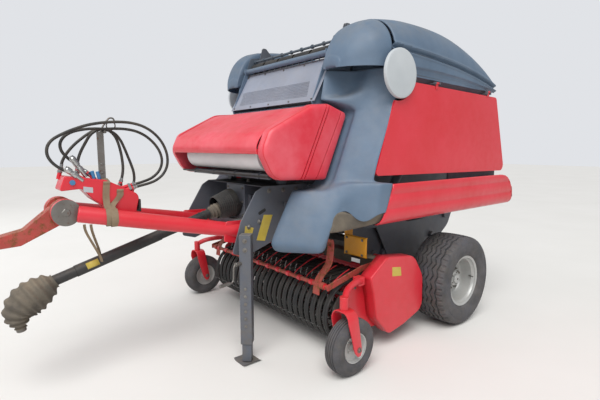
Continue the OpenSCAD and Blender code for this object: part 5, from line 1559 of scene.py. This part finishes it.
def build_wind_guard():
    p = Piece()
    p.rod((-0.925, *GUARD_BAR), (0.925, *GUARD_BAR), 0.017, 24)
    for s in (-1, 1):
        arm = rounded([(-0.835, 0.720, 0.01), (-0.835, 0.680, 0.01), (-1.100, 0.655, 0.05), (-1.495, 0.565, 0.01),
                       (-1.495, 0.615, 0.01), (-1.100, 0.705, 0.05)], 4)
        p.plate(s * 0.930 - 0.005, 0.010, arm)
    o = p.make("guard_bar", "worn_red", "guard", "rusty_red", bevel=0.002)
    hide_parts("wind_guard")
    p = Piece()
    for s in (-1, 1):
        bent = [(-1.345, 0.945), (-1.330, 0.900), (-1.345, 0.760), (-1.385, 0.700), (-1.455, 0.635), (-1.480, 0.580),
                (-1.490, 0.512)]
        path = spline([(s * 0.800, y, z) for y, z in bent], 5)
        p.ribbon(path, X_AXIS, 0.075, 0.006)
        for y, z in ((-1.345, 0.880), (-1.470, 0.600)):
            p.bolt((s * 0.800, y - 0.004, z), (0, -1, 0.1), 0.010, 0.008)
        p.lathe([(-0.020, 0.020), (-0.020, 0.028), (0.020, 0.028), (0.020, 0.020)], (s * 0.860, *GUARD_BAR), (1, 0, 0), 28)
    p.make("guard_bent_plates", "worn_red", "guard", "rusty_red", bevel=0.001)
    p = Piece()
    for i in range(12):
        x = BAND_X0 + (2 * i + 1) * PITCH
        pts = [(x, -1.470, 0.590), (x, -1.448, 0.566), (x, -1.418, 0.566), (x, -1.368, 0.606), (x, -1.260, 0.655),
               (x, -1.190, 0.676)]
        if not 0.64 < x < 0.94:
            pts += [(x, -1.130, 0.690), (x, -1.060, 0.700)]
        p.tube(spline(pts, 4), 0.0045, 10)
        p.lathe([(-0.018, 0.017), (-0.017, 0.0225), (0.017, 0.0225), (0.018, 0.017)], (x, *GUARD_BAR), (1, 0, 0), 20)
    p.make("guard_tines", "red", "guard", "rusty_red", smooth=40)


SHIELD = [(-1.180, 0.650, 0.03), (-0.977, 0.790, 0.09), (-0.610, 0.745, 0.15), (-0.472, 0.540, 0.16),
          (-0.465, 0.235, 0.10), (-0.740, 0.150, 0.10), (-0.935, 0.118, 0.07), (-1.100, 0.290, 0.12),
          (-1.137, 0.500, 0.08)]
SIDE_PLATE = [(-1.300, 0.560, 0.06), (-1.180, 0.640, 0.03), (-0.977, 0.760, 0.07), (-0.640, 0.735, 0.10),
              (-0.475, 0.540, 0.08), (-0.470, 0.300, 0.06), (-0.740, 0.160, 0.06), (-1.150, 0.180, 0.06),
              (-1.330, 0.300, 0.06)]
GAUGE_X, PIN_Y, GAUGE_Y, GAUGE_Z = 1.174, -1.554, -1.486, 0.217


def build_shields():
    edge = rounded(SHIELD, 7)
    middle = Vector((0, sum(y for y, z in edge) / len(edge), sum(z for y, z in edge) / len(edge)))

    def ring(x, inset):
        out = []
        for y, z in edge:
            v = Vector((0, y, z)) - middle
            out.append(middle + v * (1 - inset / v.length) + Vector((x, 0, 0)))
        return out

    p = Piece()
    rings = [ring(0.990, 0.0), ring(1.040, 0.0), ring(1.086, 0.0), ring(1.094, 0.0012), ring(1.099, 0.004),
             ring(1.1015, 0.009), ring(1.102, 0.016), ring(1.102, 0.060), ring(1.102, 0.160)]
    vs = p.face_grid(rings, close_u=True)
    p.bm.faces.new(vs[-1])
    o = p.make("pickup_shield", "red", "pickup", "red_paint", smooth=40, mirror=True, thick=0.006)
    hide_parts("pickup_frame")
    p = Piece()
    p.plate(PICK_X, 0.008, rounded(SIDE_PLATE, 6))
    p.rod((0.6403, -0.600, 0.640), (PICK_X, -0.600, 0.640), 0.030, 24)
    p.rod((0.9353, -0.860, 0.700), (PICK_X, -0.860, 0.700), 0.015, 20)
    p.make("pickup_side", "red", "pickup", "red_paint", bevel=0.002, mirror=True)
    p = Piece()
    p.rod((-PICK_X, -0.700, 0.420), (PICK_X, -0.700, 0.420), 0.045, 32)
    p.rod((-PICK_X, -0.850, 0.600), (PICK_X, -0.850, 0.600), 0.025, 24)
    p.plate(-PICK_X, 2 * PICK_X, [(-0.880, 0.230), (-0.880, 0.580), (-0.872, 0.600), (-0.872, 0.230)])
    p.make("pickup_cross", "red", "pickup", "red_paint", bevel=0.002)
    p = Piece()
    for x0, x1 in ((-PICK_X, -0.700), (-0.590, 0.590), (0.700, PICK_X)):
        p.plate(x0, x1 - x0, [(-0.8715, 0.560), (-0.8675, 0.560), (-0.860, 0.718), (-0.865, 0.718)])
    p.make("pickup_back", "dusty_black", "pickup", "red_paint", bevel=0.001)
    p = Piece()
    for y, z in ((-1.240, 0.560), (-1.200, 0.230)):
        p.bolt((0.988, y, z), (1, 0, 0), 0.009, 0.008)
    p.make("shield_bolts", "steel", "pickup", "bare_steel", mirror=True)
    p = Piece()
    p.plate(1.1018, 0.0008, [(-0.915, 0.694), (-0.803, 0.676), (-0.790, 0.598), (-0.912, 0.616)])
    p.make("shield_blank_plate", "plate", "pickup", "red_paint", mirror=True)
    # The intake apron in the dark dusty finish: dust, and painted shade for the dark inside of the intake.
    p = Piece()
    p.face_grid([[(x, -1.000, 0.752), (x, -0.960, 0.760), (x, -0.880, 0.742), (x, -0.740, 0.700)] for x in (0.690, 0.840, 0.984)])
    p.make("intake_apron", "dusty_black", "pickup", "red_paint", thick=0.006, mirror=True, smooth=50)


def build_arm():
    p = Piece()
    p.box((0.988, -1.270, 0.590), (1.058, -1.200, 0.660))
    p.make("arm_block", "red", "pickup", "red_paint", bevel=0.006, mirror=True, segments=3)
    p = Piece()
    path = spline([(1.040, -1.235, 0.625), (1.060, -1.300, 0.640), (1.095, -1.400, 0.636), (1.130, -1.480, 0.620),
                   (GAUGE_X, PIN_Y + 0.012, 0.586)], 6)
    p.tube(path, 0.025, 24)
    p.make("arm_tube", "red", "pickup", "red_paint", smooth=45, mirror=True)
    p = Piece()
    p.lathe([(0, 0.0203), (0, 0.030), (0.002, 0.032), (0.088, 0.032), (0.090, 0.030), (0.090, 0.001)],
            (GAUGE_X, PIN_Y, 0.520), (0, 0, 1), 36)
    p.make("swivel_socket", "red", "pickup", "red_paint", bevel=0.0, mirror=True)


def build_castor(side):
    name = "left" if side > 0 else "right"
    x0 = side * GAUGE_X
    p = Piece()
    half = 0.085
    strap = [(-half, GAUGE_Z - 0.050), (-half, GAUGE_Z + 0.150), (-half + 0.004, 0.445), (-half + 0.016, 0.476),
             (-half + 0.040, 0.498), (0, 0.503), (half - 0.040, 0.498), (half - 0.016, 0.476), (half - 0.004, 0.445),
             (half, GAUGE_Z + 0.150), (half, GAUGE_Z - 0.050)]
    pts = spline([(x, 0, z) for x, z in strap], 5)
    rows = []
    for v in pts:
        lean = max(0.0, (0.430 - v.z) / 0.260)
        y = PIN_Y + 0.010 + 0.060 * min(1.2, lean)
        width = 0.049 - 0.013 * min(1, lean) - 0.022 * max(0.0, (0.215 - v.z) / 0.048) ** 2
        rows.append([(x0 + v.x, y - width, v.z), (x0 + v.x, y + width, v.z)])
    p.face_grid(rows)
    p.rod((x0 - 0.090, GAUGE_Y, GAUGE_Z), (x0 + 0.090, GAUGE_Y, GAUGE_Z), 0.010, 20)
    p.rod((x0, PIN_Y, 0.497), (x0, PIN_Y, 0.588), 0.0199, 24)
    o = p.make("castor_fork_" + name, "red", "castor_" + name, "red_paint", smooth=40, thick=0.009, bevel=0.002,
               offset=1.0)
    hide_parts("fork_" + name)
    p = Piece()
    for s in (-1, 1):
        p.bolt((x0 + s * 0.094, GAUGE_Y, GAUGE_Z), (s, 0, 0), 0.014, 0.012)
    p.make("castor_nuts_" + name, "steel", "castor_" + name, "bare_steel")
    p = Piece()
    profile = [(-0.048, 0.108), (-0.055, 0.112), (-0.064, 0.124), (-0.069, 0.145), (-0.069, 0.172), (-0.062, 0.190),
               (-0.050, 0.204)]
    for k in range(5):
        x = -0.040 + 0.020 * k
        crown = 0.217 - 0.006 * (abs(x) / 0.044) ** 2
        profile += [(x - 0.0062, crown), (x + 0.0062, crown), (x + 0.0072, crown - 0.008), (x + 0.0128, crown - 0.008)]
    profile = profile[:-2] + [(0.050, 0.204), (0.062, 0.190), (0.069, 0.172), (0.069, 0.145), (0.064, 0.124),
                              (0.055, 0.112), (0.048, 0.108)]
    p.lathe(profile, (x0, GAUGE_Y, GAUGE_Z), (1, 0, 0), 80, closed=False)
    o = p.make("gauge_tyre_" + name, "tyre", "gauge_" + name, "tyre_rubber", smooth=35)
    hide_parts("gauge_wheel_" + name)
    p = Piece()
    p.lathe([(-0.060, 0.106), (-0.062, 0.112), (-0.056, 0.114), (-0.050, 0.106), (-0.030, 0.098), (-0.020, 0.060),
             (-0.020, 0.034), (-0.050, 0.030), (-0.052, 0.0105)], (x0, GAUGE_Y, GAUGE_Z), (1, 0, 0), 56, closed=False)
    p.lathe([(0.060, 0.106), (0.062, 0.112), (0.056, 0.114), (0.050, 0.106), (0.030, 0.098), (0.020, 0.060),
             (0.020, 0.034), (0.050, 0.030), (0.052, 0.0105)], (x0, GAUGE_Y, GAUGE_Z), (1, 0, 0), 56, closed=False)
    for s in (-1, 1):
        for k in range(4):
            a = math.pi * (k + 0.5) / 2
            p.bolt((x0 + s * 0.021, GAUGE_Y + 0.048 * math.cos(a), GAUGE_Z + 0.048 * math.sin(a)), (s, 0, 0), 0.006, 0.006)
    p.make("gauge_rim_" + name, "silver", "gauge_" + name, "silver_paint", smooth=35)


build_bands()
build_reel()
build_wind_guard()
build_shields()
build_arm()
for castor_side in (1, -1):
    build_castor(castor_side)



# Rear lamps and a blank board on the tailgate's cross beam, and the curved sheet round the front drums
BEAM_REAR = 0.956


def build_rear():
    p = Piece()
    p.box((0.385, BEAM_REAR - 0.001, 1.488), (0.606, BEAM_REAR + 0.028, 1.572))
    p.box((0.470, BEAM_REAR - 0.010, 1.470), (0.520, BEAM_REAR + 0.010, 1.492))
    p.make("lamp_housing", "black", "tailgate", "grey_paint", bevel=0.006, segments=3, mirror=True)
    for name, x0, x1, mat in (("lamp_tail", 0.470, 0.598, "lamp_red"), ("lamp_turn", 0.393, 0.464, "lamp_amber")):
        p = Piece()
        p.box((x0, BEAM_REAR + 0.027, 1.496), (x1, BEAM_REAR + 0.038, 1.564))
        p.make(name, mat, "tailgate", "grey_paint", bevel=0.005, segments=3, mirror=True)
    p = Piece()
    p.box((-0.145, BEAM_REAR - 0.0005, 1.484), (0.145, BEAM_REAR + 0.004, 1.576))
    p.make("blank_board", "disc", "tailgate", "grey_paint", bevel=0.001)
    p = Piece()
    for x in (-0.125, 0.125):
        for z in (1.500, 1.560):
            p.bolt((x, BEAM_REAR + 0.004, z), (0, 1, 0), 0.007, 0.005)
    for x in (-0.335, 0.335):
        for z in (1.500, 1.560):
            p.bolt((x, BEAM_REAR, z), (0, 1, 0), 0.010, 0.008)
    p.make("beam_bolts", "steel", "tailgate", "bare_steel")
    p = Piece()
    for x in (-0.335, 0.335):
        p.lathe([(0, 0.030), (0.004, 0.034), (0.008, 0.034), (0.010, 0.028), (0.010, 0.001)],
                (x, BEAM_REAR, 1.530), (0, 1, 0), 32)
    p.make("beam_reflectors", "lamp_red", "tailgate", "grey_paint", smooth=30)


def build_shroud():
    p = Piece()
    turn = [math.radians(145 + 2.5 * k) for k in range(28)]
    p.face_grid([[(x, -0.050 + 1.100 * math.cos(a), 1.500 + 1.100 * math.sin(a)) for a in turn]
                 for x in (-0.5998, -0.2, 0.2, 0.5998)])
    p.make("chamber_sheet", "grey", "root", "grey_paint", thick=0.004, smooth=50)


build_rear()
build_shroud()
